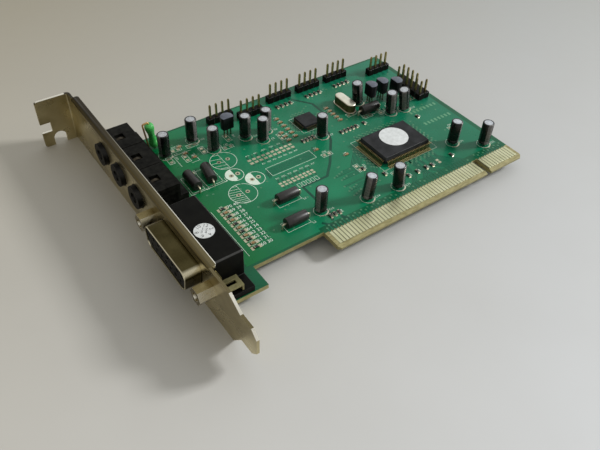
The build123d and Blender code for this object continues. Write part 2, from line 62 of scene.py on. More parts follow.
# How finely round things are drawn
SEGMENTS, BULB_SEGMENTS, DISC_SEGMENTS, SOCKET_SEGMENTS, CONE_SEGMENTS = 40, 48, 64, 16, 14
END_STEPS, CRESCENT_STEPS, HALF_DISC_STEPS, JOINT_STEPS = 20, 14, 24, 16
VIA_STEPS, PAD_STEPS = (10, 8), (24, 20)

# Camera, found from the card's own known sizes
CAMERA_EYE = (-105.6, -140.9, 145.0)
CAMERA_AIM = (0.4349, 0.5701, -0.6970)
CAMERA_ROLL = 2.65
CAMERA_LENS = 39.36
CAMERA_SENSOR = 36.0
CAMERA_NEAREST = 0.01

# Light: a window to the right, at the slope that the shadow gives, and a pale room; lengths in metres
SUN_SIDE = (1.3, -0.5, 0.85)
GLOW_SIDE = (0.9, 0.15, 0.42)
GLOW_EDGE = 0.3
GLOW_LIGHT = 1.1
GLOW_COLOUR = (0.97, 1.0, 1.0, 1.0)
ROOM_LIGHT = 0.52
ROOM_COLOUR = (1.0, 0.97, 0.9, 1.0)
WINDOW_DISTANCE = 1.0
WINDOW_SIZE = 0.17
WINDOW_POWER = 9.0
FLOOR_SIZE = 3.0

# Finishes: detail and stretch of noise, how much of a normal lies along an axis on a face and on an edge,
# sheens and reliefs that several share, and the spans in metres over which the copper's painted sheen and the
# floor's painted shade change
FINE_DETAIL, DETAIL, PLAIN_DETAIL = 4.0, 3.0, 2.0
EVEN, FIBRE = (1, 1, 1), (4, 1, 1)
FACING = 0.8
EDGE_SPAN = (0.8, 0.97)
METAL_GRAIN, METAL_DEPTH = 0.25, 0.002
MOULD_DULL, MOULD_DEPTH = 0.05, 0.006
MOULD_GLOSS = (0.32, 0.46)
MASK_SHINE = 0.22
MASK_GLOSS = (0.24, 0.38)
MASK_GRAIN = 0.35
MASK_PATCH = 3.0
TOP_GRAIN = 0.12
STRIPE_HALF = 0.44
COPPER_LEFT, COPPER_RIGHT, COPPER_CORNER = (-0.026, -0.004), (0.012, 0.05), (0.055, 0.14)
FLOOR_WAY = (0.43, 0.57)
FLOOR_SIDE, FLOOR_DEPTH = (-0.2, 0.12), (-0.08, 0.14)

# Counts and sizes of small parts; a stripe's turn is where a can's polarity mark looks
CAN_STRIPES = (-165, -68, -165, -66, -60, -70, -58, -80, -110, -130, -62, -110, -64, -150, -160)
BEAD_COUNT = 5
BEAD_WIRE = 0.3
BEAD_WIRE_REACH = 1.275
BEAD_WIRE_INSIDE = 0.3
BEAD_WIRE_BEND = 0.7
TRANSISTOR_COUNT = 4
JACK_COUNT = 3
HEADER_COUNT = 6
CHOKE_WIRE = 0.3
CHOKE_WIRE_GAP = 0.5
CHOKE_WIRE_RISE = 0.7
CHOKE_WIRE_BEND = 0.6
CHOKE_WIRE_INSIDE = 0.4
CHOKE_WAIST = 0.7
LEAD_THICKNESS = 0.15
LEAD_PAD_SHARE, LEAD_PAD_SPREAD = 0.8, 1.25
WING_BENDS = (0.2, 0.34, 0.5, 0.62, 1.0)
WING_ROOT, WING_DROP, WING_SHIN = -0.1, 0.06, 0.2
STICKER_TURN = -40
RIM_NUMBERS = 12
RIM_NUMBER_SIZE = 1.7
RIM_NUMBER_PLACE = 0.7
MIDDLE_NUMBERS = ((0.6, "1 2"), (-0.6, "3 4"))
MIDDLE_NUMBER_SIZE = 1.45
STICKER_INK = 0.02
CONTACT_COLUMNS = 8
CONTACT_PITCH = 2.77
CONTACT_ROW_GAP = 2.84
CONTACT_RADIUS = 0.5
CONTACT_LENGTH = 2.1
CONTACT_INSET = 0.3
SOLDER_RADIUS = 0.85

# Ends of round and upright bodies: how far in from the side, None for the axis, and how far from that end
CAN_BUNG = [(None, 0.0), (0.4, 0.0), (0.36, 0.14), (None, 0.2)]
SLEEVE_FOOT = [(None, 0.1), (0.12, 0.1), (0.02, 0.22), (0, 0.45), (0, 0.85), (0.16, 1.1), (0.16, 1.25),
               (0, 1.55)]
SLEEVE_HEAD = [(0, 0.32), (0.05, 0.14), (0.16, 0.03), (0.3, 0.0), (0.46, 0.04), (0.5, 0.12), (None, 0.12)]
CAN_LID = [(None, 0.13), (0.49, 0.13), (0.52, 0.07), (0.75, 0.05), (None, 0.06)]
BEAD_END = [(None, 0.0), (0.2, 0.0), (0.06, 0.06), (0, 0.2)]
TRANSISTOR_FOOT = [(0.15, 0.0), (0, 0.15)]
TRANSISTOR_HEAD = [(0, 0.2), (0.06, 0.06), (0.2, 0.0)]
CRYSTAL_RIM = [(0.05, 0.0), (0, 0.06), (0, 0.28), (0.1, 0.4), (0.36, 0.42), (0.4, 0.5)]
CRYSTAL_HEAD = [(0.4, 0.5), (0.46, 0.22), (0.6, 0.07), (0.85, 0.0)]
PIN_FOOT = [(0, 0.0)]
PIN_HEAD = [(0, 0.6), (0.048, 0.3), (0.176, 0.0)]
STICKER_FOOT = [(None, 0.0), (0.02, 0.0), (0, 0.05)]
STICKER_HEAD = [(0.03, 0.0), (None, 0.0)]
SOLDER_FOOT = [(None, 0.0), (0, 0.0), (0.03, 0.05), (0.25, 0.12), (0.43, 0.34), (0.53, 0.66)]
SOLDER_HEAD = [(0.58, 0.2), (0.65, 0.04), (None, 0.0)]
CONTACT_WALL = [(None, 0.0), (0, 0.0), (0, 2.0), (0.16, 2.1), (0.2, 2.0), (0.22, 0.5), (None, 0.5)]
SHELL_RIM = [(0, 0.5), (0.05, 0.25), (0.17, 0.06), (0.3, 0.0), (0.42, 0.05), (0.5, 0.2)]

# Side views: the choke's half as shares of its radius, a jack's spring, and the solder before a chip's end
CHOKE_HALF = [(0, 0), (0.45, 0.04), (0.78, 0.25), (0.95, 0.7), (1.0, 1.4), (0.98, 2.1), (0.88, 2.9),
              (0.75, 3.8)]
SPRING_LINE = [(-1.4, 0.1), (-0.9, 0.12), (-0.5, 0.3), (0.3, 0.36), (0.8, 0.2), (1.4, 0.1)]
SPRING_WIDTH = 1.1
FILLET = [(-0.05, 0), (0.4, 0), (0.12, 0.12), (-0.05, 0.34)]
CAP_LENGTH, CAP_LAP, CAP_PROUD = 0.32, 0.12, 0.02
CAP_EDGE, CHIP_EDGE = 0.04, 0.03

# The bracket's lip, the D of the game port, and the windows on top of the jacks
# The lip and bend sizes below also place the bracket's painted shade, painted reflections and painted
# highlights.
LIP_EDGE = 0.22
LIP_REACH = 3.4
LIP_NEAR = 35.0
LIP_FAR = 18.0
LIP_FACING = 0.3
BEND_SPAN = (-0.25, 0.0)
GLINT_FACING = -0.15
PORT_WIDTH = 24.66
PORT_TALL = 7.9
PORT_LEAN = 10.0
PORT_CORNER = 2.4
PORT_WALL = 0.5
FLANGE_THICKNESS = 1.0
JACK_WINDOW_OFF = 5.3
JACK_WINDOW_DEPTH = 0.9

# Board drawings: kinds of finish, heights above the mask, and widths
COPPER, INK, PLATING, HOLE, GILT, RING, GAP = range(7)
COPPER_HEIGHT = 0.03
GAP_HEIGHT = 0.034
TRACK_HEIGHT = 0.04
INK_HEIGHT = 0.05
HOLE_HEIGHT = 0.058
PAD_HEIGHT = 0.06
LIFT_STEP = 0.0002
LIFT_COUNT = 25
GAP_MARGIN = 0.4
SPLIT_WIDTH = 0.95
INK_LINE = 0.12
TRACE_FINE = 0.2
TRACE_PLAIN = 0.25
TRACE_WIDTH = 0.26
TRACE_BROAD = 0.35
CROWD_MARGIN = 0.2
CROWD_STEP = 0.3
VIA_ROOM = 0.1
VIA_RADIUS, VIA_WIDTH, VIA_HOLE = 0.24, 0.18, 0.16
HOLE_LAP = 0.02
JOINT_PAD = 0.95
HEADER_PAD, CAN_PAD, DISC_PAD = (0.8, 0.4), (0.75, 0.4), (0.85, 0.4)
CAN_LEG, DISC_LEG = 1.7, 1.2
CAN_LINE, DISC_LINE, HATCH_LINE, PACK_LINE = 0.16, 0.2, 0.13, 0.1
MARK_TINY, MARK_SMALL, MARK_PLAIN, MARK_LARGE, MARK_COLUMN = 0.8, 0.9, 1.0, 1.2, 1.8

# Board drawings: the places of tracks, pads and print
MASK_LOW, MASK_LEFT = 5.9, -2.2
VIA_ROW = 7.2
VIA_STEP = 0.8
FAN_SPREAD = 7.0
FAN_KNEE = 8.8
TOE_DEPTH, TOE_LAP = 2.0, 0.4
STUB_LENGTH, STUB_STEP = 1.0, 0.7
BUS_LEAD, BUS_RUN, BUS_RUN_STEP = 0.8, 7.0, 0.25
BUS_END, BUS_END_STEP = 16.5, 1.3
HEADER_BACK = 60
HEADER_DROP, HEADER_BACK_DROP, HEADER_BEND = 2.0, 3.4, 0.6
CAN_RING = 2.3
CAN_CRESCENT = (-135, -30)
CRESCENT_GAP, CRESCENT_WIDTH = 0.2, 0.36
CAN_MARK, BEAD_MARK, CHIP_MARK = (3.4, -1.2), (1.2, -1.0), 0.7
BEAD_FRAME, PACK_FRAME = 0.9, 0.5
MARK_START, CHIP_START, EMPTY_START = 21, 20, 40
BACK_SEED = 7
BACK_VIAS = 90
BACK_REACH, BACK_LEAST = (8, 22), 0.5
BACK_FIELD = (-74, 22, 9, 70)
TOP_SEED = 11
TOP_VIAS = 150
TOP_FIELD = (-24, 75, 12, 72)
TOP_GROUND = [(-28.8, 7.4), (-2.4, 7.4), (-2.4, 8.6), (77.2, 8.6), (77.2, 77.2), (-28.8, 77.2)]
GROUND_SPLITS = [
    [(3.5, 9.0), (5.0, 12.0), (5.0, 27.0), (15.0, 27.0), (20.0, 32.0), (28.0, 42.0), (30.0, 46.0),
     (30.0, 48.6), (36.0, 56.0), (36.0, 64.0), (30.0, 72.0)],
    [(0.0, 10.0), (3.0, 6.8)], [(7.0, 9.5), (8.5, 6.8)],
]
EMPTY_CANS = [(-9.6, 52.8, 4.6, 5), (-12.8, 35.0, 4.7, 9)]
HATCH_SLOPE, HATCH_START, HATCH_FOOT = -0.25, 0.7, 0.2
EMPTY_CHIPS = [
    (-20.4, 66.6, 0), (-14.4, 66.0, 0), (-19.4, 60.6, 90), (-24.6, 62.4, 90), (-8.2, 60.4, 0),
    (-12.6, 61.6, 90), (-4.4, 58.4, 0), (-22.4, 52.6, 0), (-2.0, 63.0, 90), (44.0, 50.6, 0),
    (48.6, 46.4, 0), (54.2, 46.4, 90), (60.4, 47.2, 0), (66.6, 51.8, 90), (71.0, 46.4, 0),
    (14.4, 53.4, 90), (22.0, 36.4, 0), (26.4, 24.6, 90), (70.4, 24.0, 0), (34.6, 14.6, 90),
]
# An empty chip: its pads and its frame along and across it, the two ends of its track, and how far its mark
# stands from an upright chip and from a lying one
EMPTY_PAD, EMPTY_FRAME = (1.1, 1.0), (4.0, 1.8)
EMPTY_TRACK, EMPTY_MARK = (1.4, 2.6), (2.6, 1.7)
EMPTY_DISCS = [(-10.3, 44.4, 3.1), (-5.5, 39.2, 3.3)]
# A pad row is its first pad's place, pitch, columns, rows, row step, pad width and height, and finish
PAD_ROWS = [
    (-2.3, 47.9, 1.86, 10, 2, 1.7, 1.3, 1.0, PLATING), (-0.2, 32.3, 1.59, 9, 2, 1.25, 1.1, 0.85, PLATING),
    (63.5, 39.0, 1.7, 8, 1, 1.0, 0.9, 1.6, RING), (63.5, 31.0, 1.7, 8, 1, 1.0, 0.9, 1.6, RING),
    (52.0, 13.0, 1.0, 1, 2, 1.3, 1.1, 0.9, PLATING),
]
COLUMN_LOW, COLUMN_HIGH, COLUMN_RIGHT = 11.0, 33.0, -17.0
COLUMN_MARKS = ((-19.7, 60), (-17.4, 30))
COLUMN_PAD, COLUMN_PAD_OFF, COLUMN_END = (0.9, 1.45), 0.5, -16.0
PAD_TAIL, PAD_TAIL_BEND, PAD_DROP = 1.6, 0.7, 1.5
EMPTY_RUNS = 4
EMPTY_RUN_LOW, EMPTY_RUN_PITCH = 37.9, 0.85
EMPTY_RUN_END, EMPTY_RUN_STEP = 16.5, 0.6
EMPTY_RUN_START, EMPTY_RUN_TAIL = 1.5, 2
MARK_ROWS = [(1.0, 44.0, 7, 2.2), (0.5, 35.0, 7, 2.4), (-1.5, 50.4, 5, 3.2)]
EMPTY_BOXES = [(9.0, 39.2, 18.0, 4.5)] + [(4.6 + 1.75 * place, 28.2, 1.1, 1.8) for place in range(5)]
PRINT_LINES = [
    [(-22.7, 57.5), (-22.7, 64.0), (-16.0, 64.0)], [(-16.0, 62.0), (-16.0, 57.5), (-19.0, 57.5)],
    [(-27.0, 45.0), (-27.0, 43.0), (-14.0, 43.0), (-14.0, 45.0)], [(-25.9, 10.5), (-25.9, 33.0)],
]

# Board plane in the frame: the first finger's middle, the finger tips and the board's top
FINGER_WIDTH = 1.02
FINGER_MARGIN = 0.08
fingers_low, fingers_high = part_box("edge_fingers")
board_low, board_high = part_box("circuit_board")
BOARD_ZERO = Vector((fingers_low.x + FINGER_WIDTH / 2 * MM, fingers_low.y, board_high.z))
BOARD_THICKNESS = (board_high.z - board_low.z) / MM


def at(x, y, z=0.0):
    """A place on the board in millimetres, as a point of the frame."""
    return BOARD_ZERO + Vector((x, y, z)) * MM


def numbered(name, count):
    """The names of nodes that differ in a number from 1."""
    return [f"{name}_{number}" for number in range(1, count + 1)]


class Box:
    """The box round a solid, in board millimetres."""

    def __init__(self, low, high):
        self.low, self.high = low, high
        self.middle, self.size = (low + high) / 2, high - low
        self.lying = self.size.x > self.size.y

    def place(self, z=0.0, turn=0.0):
        """The place over its middle."""
        return on_board(self.middle.x, self.middle.y, z, turn)

    def beside(self, place):
        """Whether a place lies to the left or right rather than before or behind."""
        away = place - self.middle
        return abs(away.x) / self.size.x > abs(away.y) / self.size.y

    def holds(self, x, y, margin):
        """Whether a place on the board lies in it or close by."""
        low, high = self.low, self.high
        return low.x - margin < x < high.x + margin and low.y - margin < y < high.y + margin


def box_of(node):
    """The box round a whole node."""
    return Box(*[(corner - BOARD_ZERO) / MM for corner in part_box(node)])


def placed(name, data):
    """A new object in the scene."""
    thing = bpy.data.objects.new(name, data)
    bpy.context.scene.collection.objects.link(thing)
    return thing


def srgb(colour):
    """A screen colour as the linear colour that a shader takes."""
    parts = [value / 255 for value in colour]
    return (*[part / 12.92 if part <= 0.04045 else ((part + 0.055) / 1.055) ** 2.4 for part in parts], 1.0)


class Nodes:
    """Shader nodes, added by what they do."""

    def __init__(self, tree):
        self.nodes, self.links = tree.nodes, tree.links

    def add(self, kind):
        return self.nodes.new("ShaderNode" + kind)

    def feed(self, target, source):
        """Links a node's output to a socket, or sets the socket to a plain value."""
        if hasattr(source, "is_output"):
            self.links.new(source, target)
        else:
            target.default_value = source

    def span(self, source, low, high, start=0.3, end=0.7, interpolation="LINEAR"):
        """A value that goes from low to high as the source goes from start to end."""
        node = self.add("MapRange")
        node.interpolation_type = interpolation
        for socket, value in zip(node.inputs, (source, start, end, low, high)):
            self.feed(socket, value)
        return node.outputs["Result"]

    def maths(self, operation, first, *others):
        """An operation on one value, or carried through several."""
        for other in others or (0.0,):
            node = self.add("Math")
            node.operation = operation
            self.feed(node.inputs[0], first)
            self.feed(node.inputs[1], other)
            first = node.outputs["Value"]
        return first

    def times(self, *values):
        return self.maths("MULTIPLY", *values)

    def above(self, value, limit):
        return self.maths("GREATER_THAN", value, limit)

    def axes(self, source):
        node = self.add("SeparateXYZ")
        self.links.new(source, node.inputs["Vector"])
        return node.outputs

    def mix(self, share, low, high):
        """A colour between two others, each a node's output, a screen colour or a linear colour."""
        node = self.add("Mix")
        node.data_type = "RGBA"
        self.feed(node.inputs["Factor"], share)
        sockets = [socket for socket in node.inputs if socket.type == "RGBA"]
        for socket, colour in zip(sockets, (low, high)):
            on_screen = isinstance(colour, tuple) and len(colour) == 3
            self.feed(socket, srgb(colour) if on_screen else colour)
        return [socket for socket in node.outputs if socket.type == "RGBA"][0]


class Finish(Nodes):
    """A principled material built up from solid noise in the object's own coordinates."""

    def __init__(self, name, **sockets):
        self.material = bpy.data.materials.new(name)
        self.material.use_nodes = True
        super().__init__(self.material.node_tree)
        self.shader = self.nodes["Principled BSDF"]
        self.place = self.add("TexCoord").outputs["Object"]
        for socket, value in sockets.items():
            self.shader.inputs[socket.replace("_", " ")].default_value = value

    def noise(self, size, detail=DETAIL, stretch=EVEN):
        """Noise whose grains are about size millimetres, drawn out along an axis by stretch."""
        place = self.add("Mapping")
        self.links.new(self.place, place.inputs["Vector"])
        place.inputs["Scale"].default_value = [1 / (size * MM * factor) for factor in stretch]
        texture = self.add("TexNoise")
        self.links.new(place.outputs["Vector"], texture.inputs["Vector"])
        texture.inputs["Scale"].default_value = 1.0
        texture.inputs["Detail"].default_value = detail
        return texture.outputs["Fac"]

    def normal(self):
        return self.axes(self.add("NewGeometry").outputs["Normal"])

    def drift(self, size, low, high, detail=DETAIL, stretch=EVEN, most=1.0):
        """A colour that wanders from one to another, or most of the way."""
        return self.mix(self.span(self.noise(size, detail, stretch), 0.0, most), low, high)

    def bump(self, grain, depth, stretch=EVEN):
        """A fine relief with a grain and a depth in millimetres."""
        node = self.add("Bump")
        node.inputs["Distance"].default_value = depth * MM
        self.links.new(self.noise(grain, PLAIN_DETAIL, stretch), node.inputs["Height"])
        self.links.new(node.outputs["Normal"], self.shader.inputs["Normal"])

    def done(self, colour, size, gloss, stretch=EVEN):
        """The material, with its colour and a roughness that wanders between two values."""
        self.feed(self.shader.inputs["Base Color"], colour)
        self.feed(self.shader.inputs["Roughness"], self.span(self.noise(size, DETAIL, stretch), *gloss))
        return self.material


def speckled(name, dark, light, size, gloss, depth=0.0, grain=0.2, stretch=EVEN, **sockets):
    """A finish that drifts between two colours and two roughnesses, with a fine relief."""
    finish = Finish(name, **sockets)
    if depth:
        finish.bump(grain, depth, stretch)
    return finish.done(finish.drift(size, dark, light, FINE_DETAIL, stretch), size / 3, gloss, stretch)


def edge_share(finish):
    """A value that is 1 on rounded edges and 0 on faces that lie square to the axes."""
    sizes = [finish.maths("ABSOLUTE", axis) for axis in finish.normal()]
    return finish.span(finish.maths("MAXIMUM", *sizes), 1.0, 0.0, *EDGE_SPAN)


def sheet_metal(name, dark, light, size, gloss, stretch=EVEN, folded=False, rim=(242, 240, 230)):
    """Plated metal with a painted highlight, in the rim colour, along its rounded edges."""
    finish = Finish(name, Metallic=1.0)
    plate = finish.drift(size, dark, light, FINE_DETAIL, stretch)
    # The edge mask below carries the painted edge highlight.
    glint = edge_share(finish)
    if folded:
        plate, glint = folded_shades(finish, plate, glint)
    finish.bump(METAL_GRAIN, METAL_DEPTH, stretch)
    return finish.done(finish.mix(glint, plate, rim), size / 3, gloss, stretch)


def folded_shades(finish, plate, glint):
    """The bracket's painted light: painted shade on the fold, a darker painted reflection on the lip's flat,
    both lighter towards the near end, and painted highlights along the lip, on upper faces and on edges.
    """
    x, _, z = finish.normal()
    across, along, _ = finish.axes(finish.place)
    low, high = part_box("bracket")
    upper = finish.above(z, FACING)
    on_lip = finish.above(across, high.x - LIP_REACH * MM)
    near = finish.span(along, 1.0, 0.0, low.y + LIP_NEAR * MM, high.y - LIP_FAR * MM)
    bend = finish.span(finish.times(x, z), 1.0, 0.0, *BEND_SPAN)
    # Painted shade on the fold and a darker painted reflection on the lip's flat, both lighter towards the
    # near end.
    plate = finish.mix(bend, plate, finish.mix(near, (70, 62, 40), (108, 96, 60)))
    flat = finish.mix(near, (58, 53, 42), (112, 103, 76))
    plate = finish.mix(finish.times(upper, on_lip), plate, flat)
    # Painted highlights along the lip's far edge, on upward faces off the lip, and on edges not turned to the
    # plate's outer face.
    lip = finish.times(finish.above(across, high.x - LIP_EDGE * MM), finish.above(z, LIP_FACING), near)
    top = finish.times(upper, finish.maths("SUBTRACT", 1.0, on_lip))
    glint = finish.times(glint, finish.above(x, GLINT_FACING))
    return plate, finish.maths("MAXIMUM", lip, top, glint)


def moulding(name, dark, light, size, grain, shine=0.7):
    """Black moulded plastic, polished where hands and tools rub its edges."""
    finish = Finish(name)
    polish = finish.span(edge_share(finish), MOULD_DULL, shine, 0.0, 1.0)
    finish.feed(finish.shader.inputs["Specular IOR Level"], polish)
    finish.bump(grain, MOULD_DEPTH)
    return finish.done(finish.drift(size, dark, light, FINE_DETAIL), size / 3, MOULD_GLOSS)


def topped(name, side, top, start, end, patch, gloss, depth=0.0, **sockets):
    """A finish with one drift of colour on upright faces and another on those that look up, the difference
    between them painted light.
    """
    finish = Finish(name, **sockets)
    share = finish.span(finish.normal()[2], 0.0, 1.0, start, end)
    if depth:
        finish.bump(TOP_GRAIN, depth)
    return finish.done(finish.mix(share, finish.drift(*side), finish.drift(*top)), patch, gloss)


def sleeve_finish():
    """Black shrink sleeve with one pale polarity stripe down its side."""
    finish = Finish("sleeve", Specular_IOR_Level=0.4)
    x, y, _ = finish.axes(finish.place)
    bearing = finish.maths("ABSOLUTE", finish.maths("ARCTAN2", y, x))
    stripe = finish.maths("LESS_THAN", bearing, STRIPE_HALF)
    black = finish.drift(1.2, (7, 7, 8), (13, 13, 14))
    grey = finish.drift(0.6, (86, 85, 84), (110, 107, 105))
    finish.bump(0.5, 0.012, (1, 1, 6))
    return finish.done(finish.mix(stripe, black, grey), 0.8, (0.2, 0.34))


def board_finish():
    """Green mask on both faces, bare laminate on the cut edges and round the fingers."""
    finish = Finish("board_mask", Specular_IOR_Level=MASK_SHINE)
    x, y, _ = finish.axes(finish.place)
    green = finish.drift(14.0, (4, 74, 46), (12, 88, 58), PLAIN_DETAIL)
    laminate = finish.drift(0.5, (120, 113, 74), (150, 144, 102), PLAIN_DETAIL, FIBRE)
    shaded = finish.drift(0.5, (42, 42, 22), (58, 57, 32), PLAIN_DETAIL, FIBRE)
    face = finish.above(finish.maths("ABSOLUTE", finish.normal()[2]), FACING)
    masked = finish.above(y, at(0, MASK_LOW).y)
    left = finish.maths("LESS_THAN", x, at(MASK_LEFT, 0).x)
    between = face
    for axis, low, high in zip((x, y), fingers_low, fingers_high):
        inside = finish.maths("LESS_THAN", axis, high + FINGER_MARGIN * MM)
        between = finish.times(between, finish.above(axis, low - FINGER_MARGIN * MM), inside)
    cover = finish.times(face, finish.maths("MAXIMUM", masked, left))
    finish.bump(MASK_GRAIN, 0.006)
    bare = finish.mix(between, laminate, shaded)
    return finish.done(finish.mix(cover, bare, green), MASK_PATCH, MASK_GLOSS)


def masked_copper():
    """Copper under the mask: vivid green towards the bracket, bluer and paler towards the far corner, a
    painted sheen of the glossy mask.
    """
    finish = Finish("masked_copper", Specular_IOR_Level=MASK_SHINE)
    x, y, _ = finish.axes(finish.place)
    left = finish.span(x, 1.0, 0.0, *COPPER_LEFT)
    right = finish.span(x, 0.0, 1.0, *COPPER_RIGHT)
    corner = finish.span(finish.maths("ADD", x, y), 0.0, 1.0, *COPPER_CORNER)
    tone = finish.mix(left, (18, 118, 82), (3, 101, 49))
    tone = finish.mix(right, tone, (8, 103, 72))
    tone = finish.mix(corner, tone, (20, 110, 84))
    finish.bump(MASK_GRAIN, 0.005)
    return finish.done(finish.drift(12.0, tone, (8, 82, 52), FINE_DETAIL, most=0.5), MASK_PATCH, MASK_GLOSS)


def floor_finish():
    """A pale table top, brighter before the card than behind it; the darkening behind is painted shade, and
    it is warmer to the left and cooler to the right.
    """
    finish = Finish("table_top")
    x, y, _ = finish.axes(finish.place)
    depth = finish.maths("ADD", finish.times(x, FLOOR_WAY[0]), finish.times(y, FLOOR_WAY[1]))
    side = finish.span(finish.maths("SUBTRACT", x, y), 0.0, 1.0, *FLOOR_SIDE)
    near = finish.mix(side, (186, 181, 169), (191, 193, 195))
    far = finish.mix(side, (136, 130, 113), (138, 139, 136))
    tone = finish.mix(finish.span(depth, 0.0, 1.0, *FLOOR_DEPTH), near, far)
    return finish.done(finish.drift(40.0, tone, (150, 148, 142), most=0.1), 6.0, (0.56, 0.6))


FINISHES = {
    "board": board_finish(),
    "gold": speckled("gold_plate", (174, 174, 136), (194, 194, 160), 6.0, (0.28, 0.36), Metallic=0.6),
    # The bracket's broad light and dark blotches are painted reflections.
    "bracket_steel": sheet_metal("bracket_nickel", (146, 134, 96), (228, 216, 174), 14.0, (0.24, 0.38),
                                 (1, 2, 1), True),
    "shell_steel": sheet_metal("shell_tin", (64, 58, 34), (84, 77, 50), 5.0, (0.2, 0.3), rim=(222, 215, 188)),
    "screw_steel": sheet_metal("screw_plate", (116, 104, 70), (142, 130, 94), 3.0, (0.24, 0.36)),
    "black_plastic": moulding("black_moulding", (10, 10, 9), (18, 18, 16), 4.0, 0.2),
    # The jack moulding's wide light and dark blotches are partly random tone and partly painted reflections.
    "jack_plastic": moulding("jack_moulding", (3, 3, 2), (26, 26, 23), 1.6, 0.35, 0.3),
    "chip_plastic": moulding("chip_compound", (34, 35, 36), (50, 51, 53), 3.0, 0.12),
    "label_paper": speckled("label_paper", (186, 190, 190), (208, 212, 213), 1.5, (0.6, 0.75), 0.004, 0.15),
    "tin": speckled("bright_tin", (136, 130, 108), (174, 168, 148), 1.2, (0.22, 0.36), 0.003, Metallic=1.0),
    # The crystal's bright top is painted light and its dark olive sides a painted reflection of the board.
    "crystal_steel": topped("crystal_drawn", (1.5, (92, 84, 56), (116, 106, 74)),
                            (2.0, (214, 210, 194), (232, 228, 214)), 0.3, 0.85, 1.0, (0.3, 0.42),
                            Metallic=1.0),
    "can_sleeve": sleeve_finish(),
    "ferrite": speckled("ferrite", (20, 19, 18), (33, 31, 29), 1.4, (0.3, 0.46), 0.006, 0.15),
    "choke_dip": speckled("choke_lacquer", (18, 124, 40), (84, 186, 98), 1.1, (0.2, 0.32), 0.03, 0.5,
                          (2, 2, 0.4)),
    "resistor_chip": speckled("resistor_glaze", (16, 16, 17), (28, 28, 29), 0.8, (0.3, 0.45), 0.004),
    "capacitor_chip": speckled("capacitor_body", (126, 96, 60), (156, 124, 84), 0.8, (0.36, 0.5), 0.004),
}
# In the order of the kinds of drawing
ART_FINISHES = (
    masked_copper(),
    speckled("white_ink", (186, 204, 188), (214, 224, 212), 0.6, (0.45, 0.6)),
    speckled("pad_tin", (166, 162, 136), (196, 192, 168), 0.8, (0.25, 0.4), Metallic=0.7),
    # Holes are dark discs of painted shade.
    speckled("via_hole", (10, 34, 24), (20, 48, 34), 0.4, (0.5, 0.7)),
    FINISHES["gold"],
    speckled("masked_ring", (58, 124, 88), (84, 142, 106), 0.6, (0.3, 0.45)),
    speckled("masked_gap", (2, 60, 44), (8, 74, 54), 12.0, MASK_GLOSS, 0.004, MASK_GRAIN,
             Specular_IOR_Level=MASK_SHINE),
)
CAN_TOP = speckled("can_top", (168, 171, 176), (200, 203, 208), 1.0, (0.24, 0.36), 0.003, Metallic=1.0)
CHOKE_COPPER = speckled("choke_copper", (150, 112, 60), (184, 146, 90), 1.0, (0.3, 0.42), Metallic=0.3)
LOCK_BRASS = speckled("lock_brass", (112, 107, 72), (150, 145, 106), 2.5, (0.34, 0.46), Metallic=0.7)
# The transistors' pale bluish tops are a painted reflection of the sky.
TRANSISTOR = topped("transistor_moulding", (2.0, (12, 13, 15), (22, 23, 26)),
                    (1.5, (66, 70, 80), (92, 97, 108)), 0.6, 0.95, 0.7, (0.34, 0.46), 0.005,
                    Specular_IOR_Level=0.25)
WIRE_TIN = speckled("wire_tin", (180, 173, 146), (210, 204, 182), 1.0, (0.26, 0.38), Metallic=0.8)
PIN_GILT = speckled("pin_gilt", (122, 112, 66), (158, 148, 100), 0.8, (0.24, 0.36), Metallic=0.85)
LEAD_DULL = speckled("dull_tin", (70, 66, 50), (98, 92, 72), 1.0, (0.3, 0.45), Metallic=1.0)
# The jack springs are painted dark as painted shade deep in their windows.
SPRING_IN_SHADE = speckled("spring_bronze", (40, 35, 25), (62, 54, 40), 0.8, (0.34, 0.5), Metallic=0.6)
LEAD_TIN = speckled("lead_tin", (124, 110, 70), (156, 142, 100), 1.0, (0.25, 0.4), Metallic=1.0)
INK_GREY = speckled("number_ink", (76, 76, 78), (98, 98, 100), 0.5, (0.5, 0.7))


def paint():
    """Every node of the frame gets the finish of its slot; the board locks are of brass."""
    for part in frame["record"]["subparts"]:
        mesh = frame["nodes"][part["node"]].data
        mesh.materials.clear()
        is_lock = part["node"].startswith("board_lock")
        mesh.materials.append(LOCK_BRASS if is_lock else FINISHES[part["material_slot"]])


def soften(width, *nodes):
    """Breaks the sharp edges of solids that stay in view."""
    for node in nodes:
        piece = frame["nodes"][node]
        weld = piece.modifiers.new("weld", "WELD")
        weld.merge_threshold = WELD_GAP
        bevel = piece.modifiers.new("bevel", "BEVEL")
        bevel.width = width * MM
        bevel.segments = 2
        bevel.limit_method = "ANGLE"
        bevel.angle_limit = math.radians(BEVEL_ANGLE)
        bevel.harden_normals = True


